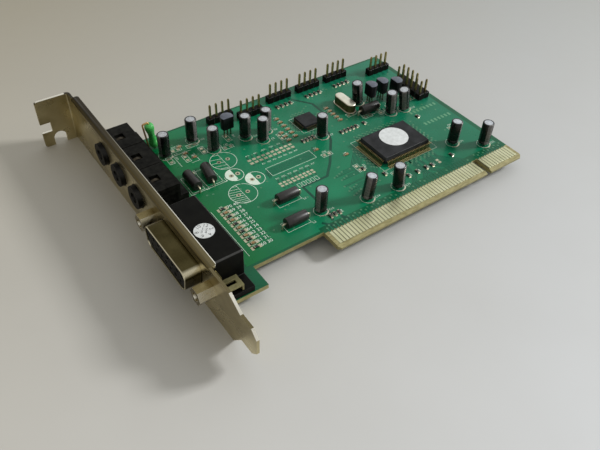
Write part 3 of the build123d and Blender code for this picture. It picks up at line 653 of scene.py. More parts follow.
class Form:
    """Gathers closed shapes, in millimetres of their own frame, into the mesh of a piece."""

    def __init__(self, *finishes, smooth=SMOOTH_ANGLE):
        self.finishes, self.smooth = finishes, smooth
        self.points, self.faces, self.kinds = [], [], []
        self.drawn = 0
        self.mesh = None

    def lift(self):
        """A tiny height, so that two drawn lines that cross don't lie in one plane."""
        self.drawn = self.drawn % LIFT_COUNT + 1
        return self.drawn * LIFT_STEP

    def add(self, shape, kind=0, place=Matrix()):
        points, faces = shape
        start = len(self.points)
        self.points += [place @ Vector(point) for point in points]
        self.faces += [[start + index for index in face] for face in faces]
        self.kinds += [kind] * len(faces)

    def build(self, name):
        mesh = bpy.data.meshes.new(name)
        mesh.from_pydata([point * MM for point in self.points], [], self.faces)
        mesh.polygons.foreach_set("material_index", self.kinds)
        for finish in self.finishes:
            mesh.materials.append(finish)
        mesh.shade_smooth()
        mesh.set_sharp_from_angle(angle=math.radians(self.smooth))
        return mesh

    def show(self, name, slot, *replaced, place=Matrix()):
        """Puts the form on the card as a piece that rides with its body and may stand for nodes."""
        self.mesh = self.mesh or self.build(name)
        piece = placed(name, self.mesh)
        piece.matrix_world = in_frame(place)
        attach(piece, BODY)
        if replaced:
            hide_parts(*replaced)


def in_frame(place):
    """A place in board millimetres as one in metres of the frame."""
    moved = place.copy()
    moved.translation = at(*place.translation)
    return moved


def on_board(x=0.0, y=0.0, z=0.0, turn=0.0):
    """The place of a thing on the board, turned about its upright."""
    return Matrix.Translation((x, y, z)) @ Matrix.Rotation(math.radians(turn), 4, "Z")


def standing(foot, head):
    """The place of a thing whose upright runs from one point to another."""
    turn = Vector((0, 0, 1)).rotation_difference(head - foot)
    return Matrix.Translation(foot) @ turn.to_matrix().to_4x4()


def arc(x, y, radius, start, end, steps):
    """Points along part of a circle."""
    angles = [math.radians(start + (end - start) * i / steps) for i in range(steps + 1)]
    return [(x + radius * math.cos(angle), y + radius * math.sin(angle)) for angle in angles]


def circle(x, y, radius, steps):
    return arc(x, y, radius, 0, 360, steps)[:-1]


def oblong(x, y, width, tall):
    """A rectangle's corners about its middle."""
    return [(x - width / 2, y - tall / 2), (x + width / 2, y - tall / 2),
            (x + width / 2, y + tall / 2), (x - width / 2, y + tall / 2)]


def raised(outline, z):
    return [(x, y, z) for x, y in outline]


def levels(tall, foot, head):
    """The insets and heights of a body, from the lists for its two ends."""
    return [*foot, *[(inset, tall - drop) for inset, drop in head]]


def lathe(profile, segments):
    """A profile of (radius, height) pairs turned about Z; a radius of 0 closes an end."""
    points, rings = [], []
    for radius, height in profile:
        outline = circle(0, 0, radius, segments) if radius else [(0, 0)]
        rings.append(range(len(points), len(points) + len(outline)))
        points += raised(outline, height)
    faces = []
    for lower, upper in zip(rings, rings[1:]):
        for i in range(segments):
            corners = [lower[i % len(lower)], lower[(i + 1) % len(lower)],
                       upper[(i + 1) % len(upper)], upper[i % len(upper)]]
            faces.append(list(dict.fromkeys(corners)))
    return points, faces


def turned(radius, tall, foot, head=(), segments=SEGMENTS):
    """A round body from the lists for its two ends."""
    steps = levels(tall, foot, head)
    return lathe([(0 if inset is None else radius - inset, z) for inset, z in steps], segments)


def loft(rings):
    """A closed skin over outlines that have as many points each, from the lowest to the highest."""
    count = len(rings[0])
    points = [point for outline in rings for point in outline]
    faces = []
    for start in range(0, len(points) - count, count):
        for i in range(count):
            a, b = start + i, start + (i + 1) % count
            faces.append([a, b, b + count, a + count])
    faces += [list(range(count))[::-1], list(range(len(points) - count, len(points)))]
    return points, faces


def stacked(outline, tall, foot, head):
    """An upright body whose outline, a function of its inset, follows the lists for its two ends."""
    return loft([raised(outline(inset), z) for inset, z in levels(tall, foot, head)])


def hoop(rings):
    """A closed skin over rings of points, the last joined to the first."""
    points, faces = loft(rings + [rings[0]])
    whole = len(points) - len(rings[0])
    return points[:whole], [[index % whole for index in face] for face in faces[:-2]]


def prism(outline, low, high):
    """A flat outline of (x, y) points, counter-clockwise, raised between two heights."""
    return loft([raised(outline, low), raised(outline, high)])


def ribbon(line, width, low, high, closed=False):
    """A line of (x, y) points with mitred corners, raised between two heights."""
    line = [Vector(point) for point in line]
    count = len(line)
    rings = []
    for i, point in enumerate(line):
        before = line[i - 1] if closed or i else 2 * point - line[1]
        after = line[(i + 1) % count] if closed or i < count - 1 else 2 * point - line[i - 1]
        sides = [Vector((-run.y, run.x)).normalized() for run in (point - before, after - point)]
        mitre = (sides[0] + sides[1]).normalized()
        reach = mitre * width / 2 / max(mitre.dot(sides[0]), MITRE_LEAST)
        left, right = point + reach, point - reach
        rings.append([(*left, low), (*left, high), (*right, high), (*right, low)])
    return hoop(rings) if closed else loft(rings)


def edge_on(shape):
    """A shape drawn in X and Z, turned upright from the flat."""
    points, faces = shape
    return [(x, -y, z) for x, z, y in points], faces


def strap(line, thickness, width):
    """A bent strip: its side view in X and Z, spread to both sides of Y."""
    return edge_on(ribbon(line, thickness, -width / 2, width / 2))


def taken(work):
    """The points and faces of a bmesh, which is freed."""
    work.verts.index_update()
    points = [vert.co.copy() for vert in work.verts]
    faces = [[vert.index for vert in face.verts] for face in work.faces]
    work.free()
    return points, faces


def brick(low, high, edge):
    """A box between two corners with broken edges."""
    work = bmesh.new()
    bmesh.ops.create_cube(work, size=1.0)
    for vert in work.verts:
        vert.co = [b if side > 0 else a for a, b, side in zip(low, high, vert.co)]
    bmesh.ops.bevel(work, geom=work.edges, offset=edge, segments=2, profile=0.5, affect="EDGES")
    return taken(work)


def letters(text, size, thickness):
    """Plain raised lettering about its own middle."""
    curve = bpy.data.curves.new("lettering", "FONT")
    curve.body = text
    curve.size = size
    curve.align_x = curve.align_y = "CENTER"
    curve.extrude = thickness / 2
    curve.resolution_u = 2
    carrier = bpy.data.objects.new("lettering", curve)
    mesh = bpy.data.meshes.new_from_object(carrier)
    work = bmesh.new()
    work.from_mesh(mesh)
    bmesh.ops.remove_doubles(work, verts=work.verts, dist=size / 1000)
    bpy.data.objects.remove(carrier)
    bpy.data.curves.remove(curve)
    bpy.data.meshes.remove(mesh)
    return taken(work)


def rounded(line, bend, steps=6):
    """A line of points in space with each inner corner drawn as a curve."""
    line = [Vector(point) for point in line]
    smooth = [line[0]]
    for before, corner, after in zip(line, line[1:], line[2:]):
        start = corner + (before - corner).normalized() * bend
        end = corner + (after - corner).normalized() * bend
        for i in range(steps + 1):
            share = i / steps
            smooth.append(start.lerp(corner, share).lerp(corner.lerp(end, share), share))
    return smooth + [line[-1]]


def rounded_outline(outline, radius, steps=10):
    """A flat outline whose corners are arcs of one radius."""
    points = []
    count = len(outline)
    for i in range(count):
        corner = Vector(outline[i])
        ways = [(Vector(outline[j % count]) - corner).normalized() for j in (i - 1, i + 1)]
        half = ways[0].angle(ways[1]) / 2
        middle = corner + (ways[0] + ways[1]).normalized() * radius / math.sin(half)
        start, end = [corner + way * radius / math.tan(half) - middle for way in ways]
        sweep = start.angle_signed(end)
        turns = [Matrix.Rotation(-sweep * step / steps, 2) for step in range(steps + 1)]
        points += [tuple(middle + turn @ start) for turn in turns]
    return points


def wire(line, radius, sides=12):
    """A round wire along points in space."""
    rings = []
    side = None
    for i, point in enumerate(line):
        along = (line[min(i + 1, len(line) - 1)] - line[max(i - 1, 0)]).normalized()
        side = along.orthogonal() if side is None else side - along * side.dot(along)
        side.normalize()
        other = along.cross(side)
        rings.append([point + side * x + other * y for x, y in circle(0, 0, radius, sides)])
    return loft(rings)


def islands(node):
    """The boxes of a node's separate solids, sorted by place."""
    work = bmesh.new()
    work.from_mesh(frame["nodes"][node].data)
    bmesh.ops.remove_doubles(work, verts=work.verts, dist=WELD_GAP)
    found = []
    for first in work.verts:
        if first.tag:
            continue
        first.tag = True
        group = [first]
        for vert in group:
            for edge in vert.link_edges:
                other = edge.other_vert(vert)
                if not other.tag:
                    other.tag = True
                    group.append(other)
        places = [(vert.co - BOARD_ZERO) / MM for vert in group]
        ends = [Vector([end(place[i] for place in places) for i in range(3)]) for end in (min, max)]
        found.append(Box(*ends))
    work.free()
    return sorted(found, key=lambda box: (round(box.low.x, 2), round(box.low.y, 2)))


def middles(node):
    return [box.middle for box in islands(node)]


def axis_of(node):
    """The two end middles of a body that is longer than it is wide."""
    points = [(vert.co - BOARD_ZERO) / MM for vert in frame["nodes"][node].data.vertices]
    middle = sum(points, Vector()) / len(points)
    along = max(points, key=lambda point: (point - middle).length) - middle
    for _ in range(AXIS_PASSES):
        ahead = [point for point in points if (point - middle).dot(along) > 0]
        along = (sum(ahead, Vector()) / len(ahead) - middle).normalized()
    if along.z < 0:
        along = -along
    reach = [(point - middle).dot(along) for point in points]
    return middle + along * min(reach), middle + along * max(reach)


def make_cans():
    """Sleeved cans with a crimp near the foot, a curled sleeve edge and a bare top."""
    foot, head = axis_of("capacitor_1")
    tall, radius = (head - foot).length, box_of("capacitor_1").size.x / 2
    form = Form(FINISHES["can_sleeve"], CAN_TOP, FINISHES["black_plastic"])
    form.add(turned(radius, tall, CAN_BUNG), 2)
    form.add(turned(radius, tall, SLEEVE_FOOT, SLEEVE_HEAD))
    form.add(turned(radius, tall, (), CAN_LID), 1)
    for number, turn in enumerate(CAN_STRIPES, 1):
        node = f"capacitor_{number}"
        form.show(f"can_{number}", "can_sleeve", node, place=standing(*axis_of(node)) @ on_board(turn=turn))


def make_beads():
    """Ferrite tubes lying on the board, with the wires that run through them."""
    wires = Form(WIRE_TIN)
    for number, node in enumerate(numbered("ferrite_bead", BEAD_COUNT), 1):
        start, end = axis_of(node)
        radius = box_of(node).size.z / 2
        start.z = end.z = radius
        form = Form(FINISHES["ferrite"])
        form.add(turned(radius, (end - start).length, BEAD_END, BEAD_END[::-1], BULB_SEGMENTS))
        form.show(f"bead_{number}", "ferrite", node, place=standing(start, end))
        out = (end - start).normalized()
        for point, way in ((start, -out), (end, out)):
            bend = point + way * BEAD_WIRE_REACH
            line = [point - way * BEAD_WIRE_INSIDE, bend, Vector((bend.x, bend.y, 0))]
            wires.add(wire(rounded(line, BEAD_WIRE_BEND), BEAD_WIRE))
    wires.show("bead_wires", "tin", "bead_leads")


def flat_side(node):
    """The way that a half-round body's flat looks."""
    upright = [face for face in frame["nodes"][node].data.polygons if abs(face.normal.z) < UPRIGHT_MOST]
    return max(upright, key=lambda face: face.area).normal


def make_transistors():
    """Half-round bodies with a flat."""
    for number, node in enumerate(numbered("transistor", TRANSISTOR_COUNT), 1):
        box = box_of(node)
        way = flat_side(node)
        radius = max(box.size.xy) / 2
        flat = min(box.size.xy) - radius
        middle = box.middle - Vector((way.x, way.y, 0)) * (flat - radius) / 2
        opening = math.degrees(math.acos(flat / radius))

        def outline(inset):
            return arc(0, 0, radius - inset, opening, 360 - opening, SEGMENTS)

        form = Form(TRANSISTOR)
        form.add(stacked(outline, box.size.z, TRANSISTOR_FOOT, TRANSISTOR_HEAD))
        place = on_board(middle.x, middle.y, box.low.z, math.degrees(math.atan2(way.y, way.x)))
        form.show(f"transistor_body_{number}", "chip_plastic", node, place=place)


def make_choke():
    """A dipped upright choke: two smooth bulbs, and a wire that folds over the top and down the side."""
    foot, head = axis_of("choke")
    tall, radius = (head - foot).length, box_of("choke").size.y / 2
    profile = [(radius * share, z) for share, z in [*CHOKE_HALF, (CHOKE_WAIST, tall / 2)]]
    profile += [(reach, tall - z) for reach, z in profile[-2::-1]]
    place = standing(foot, head)
    form = Form(FINISHES["choke_dip"])
    form.add(lathe(profile, BULB_SEGMENTS))
    form.show("choke_body", "choke_dip", "choke", place=place)
    side, over = radius + CHOKE_WIRE_GAP, tall + CHOKE_WIRE_RISE
    ground = -foot.z / (head - foot).normalized().z
    fold = [(0, 0, tall - CHOKE_WIRE_INSIDE), (0, 0, over), (-side, 0, over), (-side, 0, ground)]
    foot_wire = [(0, 0, CHOKE_WIRE_INSIDE), (0, 0, ground)]
    wires = Form(CHOKE_COPPER)
    for line in (rounded(fold, CHOKE_WIRE_BEND), foot_wire):
        wires.add(wire([place @ Vector(point) for point in line], CHOKE_WIRE))
    wires.show("choke_wires", "tin", "choke_leads")


def make_crystal():
    """A low drawn can with rounded ends and shoulders on a rolled rim."""
    box = box_of("crystal")
    width, length, tall = box.size
    straight = (length - width) / 2

    def outline(inset):
        end = width / 2 - inset
        return arc(0, straight, end, 0, 180, END_STEPS) + arc(0, -straight, end, 180, 360, END_STEPS)

    form = Form(FINISHES["crystal_steel"])
    form.add(stacked(outline, tall, CRYSTAL_RIM, CRYSTAL_HEAD))
    form.show("crystal_can", "crystal_steel", "crystal", place=box.place())


def make_chips(node, slot, name):
    """Surface chips: a body, a tinned cap on each end and a solder fillet before it."""
    form = Form(FINISHES[slot], FINISHES["tin"])
    for box in islands(node):
        end, side, tall = max(box.size.xy) / 2, min(box.size.xy) / 2, box.size.z
        place = box.place(turn=0 if box.lying else 90)
        body = end - CAP_LENGTH + CAP_LAP
        form.add(brick((-body, -side, CAP_PROUD), (body, side, tall - CAP_PROUD), CHIP_EDGE), 0, place)
        for turn in (0, 180):
            way = place @ on_board(turn=turn)
            form.add(brick((end - CAP_LENGTH, -side, 0.0), (end, side, tall), CAP_EDGE), 1, way)
            form.add(edge_on(prism([(end + x, z) for x, z in FILLET], -side, side)), 1, way)
    form.show(name, slot, node)


def make_flat_pack(chip, leads, name, tone):
    """Gull-wing leads round a flat pack, each on its tinned pad."""
    body = box_of(chip)
    form = Form(tone)
    for box in islands(leads):
        spot = box.middle - body.middle
        beside = body.beside(box.middle)
        out, across = (spot.x, spot.y) if beside else (spot.y, spot.x)
        reach, width = (box.size.x, box.size.y) if beside else (box.size.y, box.size.x)
        turn = (0 if out > 0 else 180) if beside else (90 if out > 0 else -90)
        place = body.place(turn=turn)
        place @= Matrix.Translation((abs(out) - reach / 2, across if turn in (0, -90) else -across, 0))
        knee, toe = box.high.z - LEAD_THICKNESS / 2, LEAD_THICKNESS / 2
        heights = (knee, knee - WING_DROP, WING_SHIN, toe, toe)
        line = [(WING_ROOT, knee)] + [(share * reach, z) for share, z in zip(WING_BENDS, heights)]
        form.add(strap(line, LEAD_THICKNESS, width), 0, place)
        length = LEAD_PAD_SHARE * reach
        form.add(prism(oblong(length, 0, length, LEAD_PAD_SPREAD * width), 0, PAD_HEIGHT), 0, place)
    form.show(name, "tin", leads)


def make_pins():
    """Square header pins with drawn-in tips."""
    form = Form(PIN_GILT, smooth=PIN_SMOOTH_ANGLE)
    for box in islands("header_pins"):

        def outline(inset):
            return oblong(0, 0, box.size.x - 2 * inset, box.size.x - 2 * inset)

        form.add(stacked(outline, box.size.z, PIN_FOOT, PIN_HEAD), 0, box.place(box.low.z))
    form.show("pins", "gold", "header_pins")


def make_stickers():
    """Round paper spots; the one on the port has plain numbers round its rim, as a calendar spot has."""
    for node, numbers in (("controller_sticker", 0), ("game_port_sticker", RIM_NUMBERS)):
        box = box_of(node)
        radius, tall = box.size.x / 2, box.size.z
        form = Form(FINISHES["label_paper"], INK_GREY)
        form.add(turned(radius, tall, STICKER_FOOT, STICKER_HEAD, DISC_SEGMENTS))
        for hour in range(0, numbers, 2):
            place = on_board(turn=-360 * hour / numbers) @ on_board(0, radius * RIM_NUMBER_PLACE, tall)
            form.add(letters(str(hour or numbers), RIM_NUMBER_SIZE, STICKER_INK), 1, place)
        for row, text in MIDDLE_NUMBERS if numbers else ():
            form.add(letters(text, MIDDLE_NUMBER_SIZE, STICKER_INK), 1, on_board(0, row, tall))
        place = box.place(box.low.z, STICKER_TURN)
        form.show(f"{node}_disc", "label_paper", node, place=place)


def make_solder():
    """Solder cones round the cut wire ends under the board."""
    form = Form(FINISHES["tin"])
    for box in islands("solder_joints"):
        place = box.place(box.high.z) @ Matrix.Rotation(math.pi, 4, "X")
        form.add(turned(SOLDER_RADIUS, box.size.z, SOLDER_FOOT, SOLDER_HEAD, CONE_SEGMENTS), 0, place)
    form.show("solder_cones", "tin", "solder_joints")


def port_ring(inset, x):
    """The D of the port at a depth, drawn in by an inset."""
    middle = box_of("game_port_insulator").middle
    across, up = PORT_WIDTH / 2 - inset, PORT_TALL / 2 - inset
    lean = 2 * up * math.tan(math.radians(PORT_LEAN))
    corners = [(across, up), (-across, up), (lean - across, -up), (across - lean, -up)]
    return [(x, middle.y + y, middle.z + z) for y, z in rounded_outline(corners, PORT_CORNER - inset)]


def make_shell():
    """The drawn shell of the port with a rolled rim, and its flange behind the bracket."""
    box = box_of("game_port_shell")
    front, back = box.low.x, box.high.x
    steps = [(PORT_WALL, back), (0, back)] + [(inset, front + depth) for inset, depth in SHELL_RIM]
    form = Form(FINISHES["shell_steel"])
    form.add(hoop([port_ring(inset, x) for inset, x in steps]))
    inner = port_ring(0, back)
    outer = []
    for _, y, z in inner:
        away = Vector((0, y - box.middle.y, z - box.middle.z))
        reach = min(box.size[i] / 2 / max(abs(away[i]), AWAY_LEAST) for i in (1, 2))
        outer.append((back, box.middle.y + away.y * reach, box.middle.z + away.z * reach))
    near = [[(back - FLANGE_THICKNESS, y, z) for _, y, z in points] for points in (outer, inner)]
    form.add(hoop([inner, outer, *near]))
    form.show("port_shell", "shell_steel", "game_port_shell")


def make_contacts():
    """Gilt sockets behind the holes of the game port."""
    box = box_of("game_port_insulator")
    form = Form(FINISHES["gold"])
    for row, columns in ((1, CONTACT_COLUMNS), (-1, CONTACT_COLUMNS - 1)):
        for column in range(columns):
            y = box.middle.y + (column - (columns - 1) / 2) * CONTACT_PITCH
            place = on_board(box.low.x + CONTACT_INSET, y, box.middle.z + row * CONTACT_ROW_GAP / 2)
            place @= Matrix.Rotation(math.radians(-90), 4, "Y") @ on_board(z=-CONTACT_LENGTH)
            form.add(turned(CONTACT_RADIUS, CONTACT_LENGTH, CONTACT_WALL, segments=SOCKET_SEGMENTS), 0, place)
    form.show("port_contacts", "gold")


def make_springs():
    """The contact spring that shows in the window on top of each jack."""
    form = Form(SPRING_IN_SHADE)
    x = box_of("game_port_shell").high.x - FLANGE_THICKNESS + JACK_WINDOW_OFF
    for jack in numbered("phone_jack", JACK_COUNT):
        box = box_of(jack)
        place = on_board(x, box.middle.y, box.high.z - JACK_WINDOW_DEPTH)
        form.add(strap(SPRING_LINE, LEAD_THICKNESS, SPRING_WIDTH), 0, place)
    form.show("jack_springs", "tin")


def trace(form, line, width=TRACE_WIDTH):
    """A copper track under the mask, with a gap to the copper round it."""
    lift = form.lift()
    form.add(ribbon(line, width + GAP_MARGIN, 0, GAP_HEIGHT + lift), GAP)
    form.add(ribbon(line, width, 0, TRACK_HEIGHT + lift), COPPER)


def ink(form, line, width=INK_LINE, closed=False):
    """A printed line."""
    form.add(ribbon(line, width, 0, INK_HEIGHT + form.lift(), closed), INK)


def ring(form, x, y, radius, width=INK_LINE):
    """A printed circle."""
    ink(form, circle(x, y, radius, SEGMENTS), width, True)


def frame_line(form, x, y, width, tall, line=INK_LINE):
    """A printed rectangle about its middle."""
    ink(form, oblong(x, y, width, tall), line, True)


def mark(form, text, x, y, size, turn=0):
    """A printed reference, such as C12."""
    thickness = INK_HEIGHT / 2
    place = on_board(x, y, INK_HEIGHT + form.lift() - thickness / 2, turn)
    form.add(letters(text, size, thickness), INK, place)


def drilled(form, x, y, radius, width, hole, kind, steps):
    """A ring of metal round a hole, drawn as a dark disc of painted shade."""
    form.add(ribbon(circle(x, y, radius, steps[0]), width, 0, PAD_HEIGHT + form.lift(), True), kind)
    form.add(prism(circle(x, y, hole, steps[1]), 0, HOLE_HEIGHT), HOLE)


def via(form, x, y):
    """A plated hole under the mask."""
    drilled(form, x, y, VIA_RADIUS, VIA_WIDTH, VIA_HOLE, RING, VIA_STEPS)


def ring_pad(form, x, y, outer, hole):
    """A bare drilled pad."""
    drilled(form, x, y, (outer + hole) / 2, outer - hole, hole + HOLE_LAP, PLATING, PAD_STEPS)


def pad(form, x, y, width, tall, kind=PLATING):
    form.add(prism(oblong(x, y, width, tall), 0, PAD_HEIGHT + form.lift()), kind)


def crowded(line, boxes):
    """Whether a track would run through a chip's place."""
    for start, end in zip(line, line[1:]):
        steps = max(2, int(math.dist(start, end) / CROWD_STEP))
        for i in range(steps + 1):
            x, y = [a + (b - a) * i / steps for a, b in zip(start, end)]
            if any(box.holds(x, y, CROWD_MARGIN) for box in boxes):
                return True
    return False


def track(form, boxes, line, width=TRACE_WIDTH, to_via=True):
    """A trace, unless chips are in its way; tells whether it was drawn."""
    clear = not crowded(line, boxes)
    if clear:
        trace(form, line, width)
    if clear and to_via:
        via(form, *line[-1])
    return clear


def jog(start, end, knee):
    """A track that leaves straight up, turns at 45 degrees once past the knee and goes on straight up."""
    run = abs(end[0] - start[0])
    return [start, (start[0], knee), (end[0], knee + run), end]


def finger_tracks(form, boxes):
    """Tracks from the fingers: some to the controller's near side, the rest to a row of vias."""
    tops = sorted(spot.x for spot in middles("edge_fingers"))
    finger_end = box_of("edge_fingers").high.y
    low = box_of("controller_leads").low
    toes = sorted(spot.x for spot in middles("controller_leads") if spot.y < low.y + TOE_DEPTH)
    near = [x for x in tops if toes[0] - FAN_SPREAD < x < toes[-1] + FAN_SPREAD]
    used = {}
    for index, toe in enumerate(toes):
        used.setdefault(round(index * (len(near) - 1) / (len(toes) - 1)), toe)
    for index, x in enumerate(tops):
        toe = used.get(near.index(x)) if x in near else None
        if toe and track(form, boxes, jog((x, finger_end), (toe, low.y + TOE_LAP), FAN_KNEE), to_via=False):
            continue
        row = VIA_ROW + VIA_STEP * (index % 2)
        trace(form, [(x, finger_end), (x, row)])
        via(form, x, row)


def chip_tracks(form, boxes, leads):
    """Short tracks that leave a flat pack, each to a via in one of three staggered rows."""
    box = box_of(leads)
    for index, spot in enumerate(middles(leads)):
        away = spot - box.middle
        step = STUB_LENGTH + STUB_STEP * (index % 3)
        if box.beside(spot):
            edge = box.high.x if away.x > 0 else box.low.x
            line = [(edge, spot.y), (edge + math.copysign(step, away.x), spot.y)]
        else:
            edge = box.high.y if away.y > 0 else box.low.y
            line = [(spot.x, edge), (spot.x, edge + math.copysign(step, away.y))]
        track(form, boxes, line, TRACE_FINE)


def bus(form, boxes):
    """The slanting run of tracks from the controller's left side, beside the split between the grounds."""
    left = box_of("controller_leads").low.x
    toes = sorted(spot.y for spot in middles("controller_leads") if spot.x < left + TOE_DEPTH)
    for index, y in enumerate(toes):
        run = BUS_RUN + BUS_RUN_STEP * (index % 4)
        knee = left - BUS_LEAD
        end = (BUS_END + BUS_END_STEP * (index % 4), y - run)
        track(form, boxes, [(left + TOE_LAP, y), (knee, y), (knee - run, y - run), end])


def header_tracks(form, boxes):
    """Tracks from the header pins down to the chips before them."""
    for spot in middles("header_pins"):
        x, y = spot.xy
        end = y - (HEADER_BACK_DROP if y > HEADER_BACK else HEADER_DROP)
        ring_pad(form, x, y, *HEADER_PAD)
        track(form, boxes, [(x, y), (x, end + HEADER_BEND), (x - HEADER_BEND, end)], TRACE_BROAD, False)


def pad_tracks(form):
    """Tracks that leave the empty pad rows, and the long runs under the empty chip's outline."""
    for x, y, pitch, columns, _, row_step, *_ in PAD_ROWS[:2]:
        for column in range(columns):
            spot = x + column * pitch
            knee = y + PAD_TAIL
            end = (spot + PAD_TAIL_BEND, knee + PAD_TAIL_BEND)
            trace(form, [(spot, y), (spot, knee), end], TRACE_FINE)
            trace(form, [(spot, y - row_step), (spot, y - row_step - PAD_DROP)], TRACE_FINE)
            via(form, *end)
    for number in range(EMPTY_RUNS):
        y = EMPTY_RUN_LOW + EMPTY_RUN_PITCH * number
        end = EMPTY_RUN_END + EMPTY_RUN_STEP * number
        start, tail = (-EMPTY_RUN_START, y - EMPTY_RUN_START), (end + EMPTY_RUN_TAIL, y + EMPTY_RUN_TAIL)
        trace(form, [start, (0.0, y), (end, y), tail], TRACE_FINE)


def port_column(form, boxes):
    """Print and pads beside the column of chips behind the game port."""
    chips = [box for box in boxes if box.low.x < COLUMN_RIGHT]
    for index, box in enumerate(sorted(chips, key=lambda box: box.low.y)):
        y = box.middle.y
        if not COLUMN_LOW < y < COLUMN_HIGH:
            continue
        left, right = box.low.x - COLUMN_PAD_OFF, box.high.x + COLUMN_PAD_OFF
        for x in (left, right):
            pad(form, x, y, *COLUMN_PAD)
        for x, first in COLUMN_MARKS:
            mark(form, str(first + index), x, y, MARK_COLUMN)
        trace(form, [(right, y), (COLUMN_END, y)], TRACE_PLAIN)


def empty_places(form):
    """Places where nothing is fitted: drilled pads in printed circles and rows of tinned pads."""
    for x, y, radius, hatched in EMPTY_CANS:
        ring(form, x, y, radius, CAN_LINE)
        ink(form, [(x, y - radius), (x, y + radius)])
        for side in (-1, 1):
            ring_pad(form, x + side * CAN_LEG, y, *CAN_PAD)
        for line in range(hatched):
            rise = -radius + (line + HATCH_START) * 2 * radius / hatched
            reach = math.sqrt(radius ** 2 - rise ** 2)
            end = max(HATCH_FOOT - radius, rise + HATCH_SLOPE * reach)
            ink(form, [(x - reach, y + rise), (x, y + end)], HATCH_LINE)
    for x, y, radius in EMPTY_DISCS:
        ring(form, x, y, radius, DISC_LINE)
        form.add(prism(arc(x, y, radius, 90, 270, HALF_DISC_STEPS), 0, INK_HEIGHT), INK)
        for side in (-1, 1):
            ring_pad(form, x + side * DISC_LEG, y, *DISC_PAD)
    for x, y, pitch, columns, rows, row_step, width, tall, kind in PAD_ROWS:
        for column in range(columns):
            for row in range(rows):
                pad(form, x + column * pitch, y - row * row_step, width, tall, kind)
    for x, y, columns, pitch in MARK_ROWS:
        for column in range(columns):
            mark(form, f"R{MARK_START + column}", x + column * pitch, y, MARK_SMALL)
    for number, (x, y, turn) in enumerate(EMPTY_CHIPS, EMPTY_START):
        across, up = (1, 0) if turn == 0 else (0, 1)
        way = 1 if across else -1
        for side in (-1, 1):
            pad(form, x + side * across, y + side * up, *EMPTY_PAD[::way])
        frame_line(form, x, y, *EMPTY_FRAME[::way])
        near, far = EMPTY_TRACK
        line = [(x + near * across, y + near * up), (x + far * across + up, y + far * up + across)]
        trace(form, line, TRACE_PLAIN)
        mark(form, f"C{number}", x + EMPTY_MARK[0] * up, y + EMPTY_MARK[1] * across, MARK_PLAIN, turn)


def loose_vias(form, boxes):
    """Vias scattered over the free board."""
    chance = random.Random(TOP_SEED)
    for _ in range(TOP_VIAS):
        spot = (chance.uniform(*TOP_FIELD[:2]), chance.uniform(*TOP_FIELD[2:]))
        if not crowded([spot, (spot[0] + VIA_ROOM, spot[1])], boxes):
            via(form, *spot)


def outlines(form):
    """Printed outlines round the fitted and the empty places."""
    for number, node in enumerate(numbered("capacitor", len(CAN_STRIPES)), 1):
        x, y = axis_of(node)[0].xy
        ring(form, x, y, CAN_RING)
        crescent = arc(x, y, CAN_RING + CRESCENT_GAP, *CAN_CRESCENT, CRESCENT_STEPS)
        form.add(ribbon(crescent, CRESCENT_WIDTH, 0, PAD_HEIGHT), PLATING)
        mark(form, f"C{number}", x + CAN_MARK[0], y + CAN_MARK[1], MARK_LARGE)
    for number, node in enumerate(numbered("ferrite_bead", BEAD_COUNT), 1):
        box = box_of(node)
        frame_line(form, *box.middle.xy, box.size.x + BEAD_FRAME, box.size.y + BEAD_FRAME)
        mark(form, f"L{number}", box.high.x + BEAD_MARK[0], box.low.y + BEAD_MARK[1], MARK_LARGE)
    for leads in ("controller_leads", "codec_leads"):
        box = box_of(leads)
        frame_line(form, *box.middle.xy, box.size.x + PACK_FRAME, box.size.y + PACK_FRAME, PACK_LINE)
    for place in EMPTY_BOXES:
        frame_line(form, *place)
    for line in PRINT_LINES:
        ink(form, line)


def chip_marks(form):
    """References beside the surface chips."""
    for node, letter in (("chip_resistors", "R"), ("chip_capacitors", "C")):
        for number, box in enumerate(islands(node), CHIP_START):
            x, y = box.middle.xy
            if box.lying:
                mark(form, f"{letter}{number}", x, y + box.size.y / 2 + CHIP_MARK, MARK_TINY)
            else:
                mark(form, f"{letter}{number}", x + box.size.x / 2 + CHIP_MARK, y, MARK_TINY, 90)


def make_board_art():
    """The component side: ground areas, tracks, vias, bare pads and print."""
    form = Form(*ART_FINISHES)
    boxes = islands("chip_resistors") + islands("chip_capacitors")
    form.add(prism(TOP_GROUND, 0, COPPER_HEIGHT), COPPER)
    for line in GROUND_SPLITS:
        form.add(ribbon(line, SPLIT_WIDTH, 0, GAP_HEIGHT), GAP)
    finger_tracks(form, boxes)
    chip_tracks(form, boxes, "codec_leads")
    chip_tracks(form, boxes, "controller_leads")
    bus(form, boxes)
    header_tracks(form, boxes)
    pad_tracks(form)
    port_column(form, boxes)
    empty_places(form)
    loose_vias(form, boxes)
    outlines(form)
    chip_marks(form)
    form.show("board_art", "board")


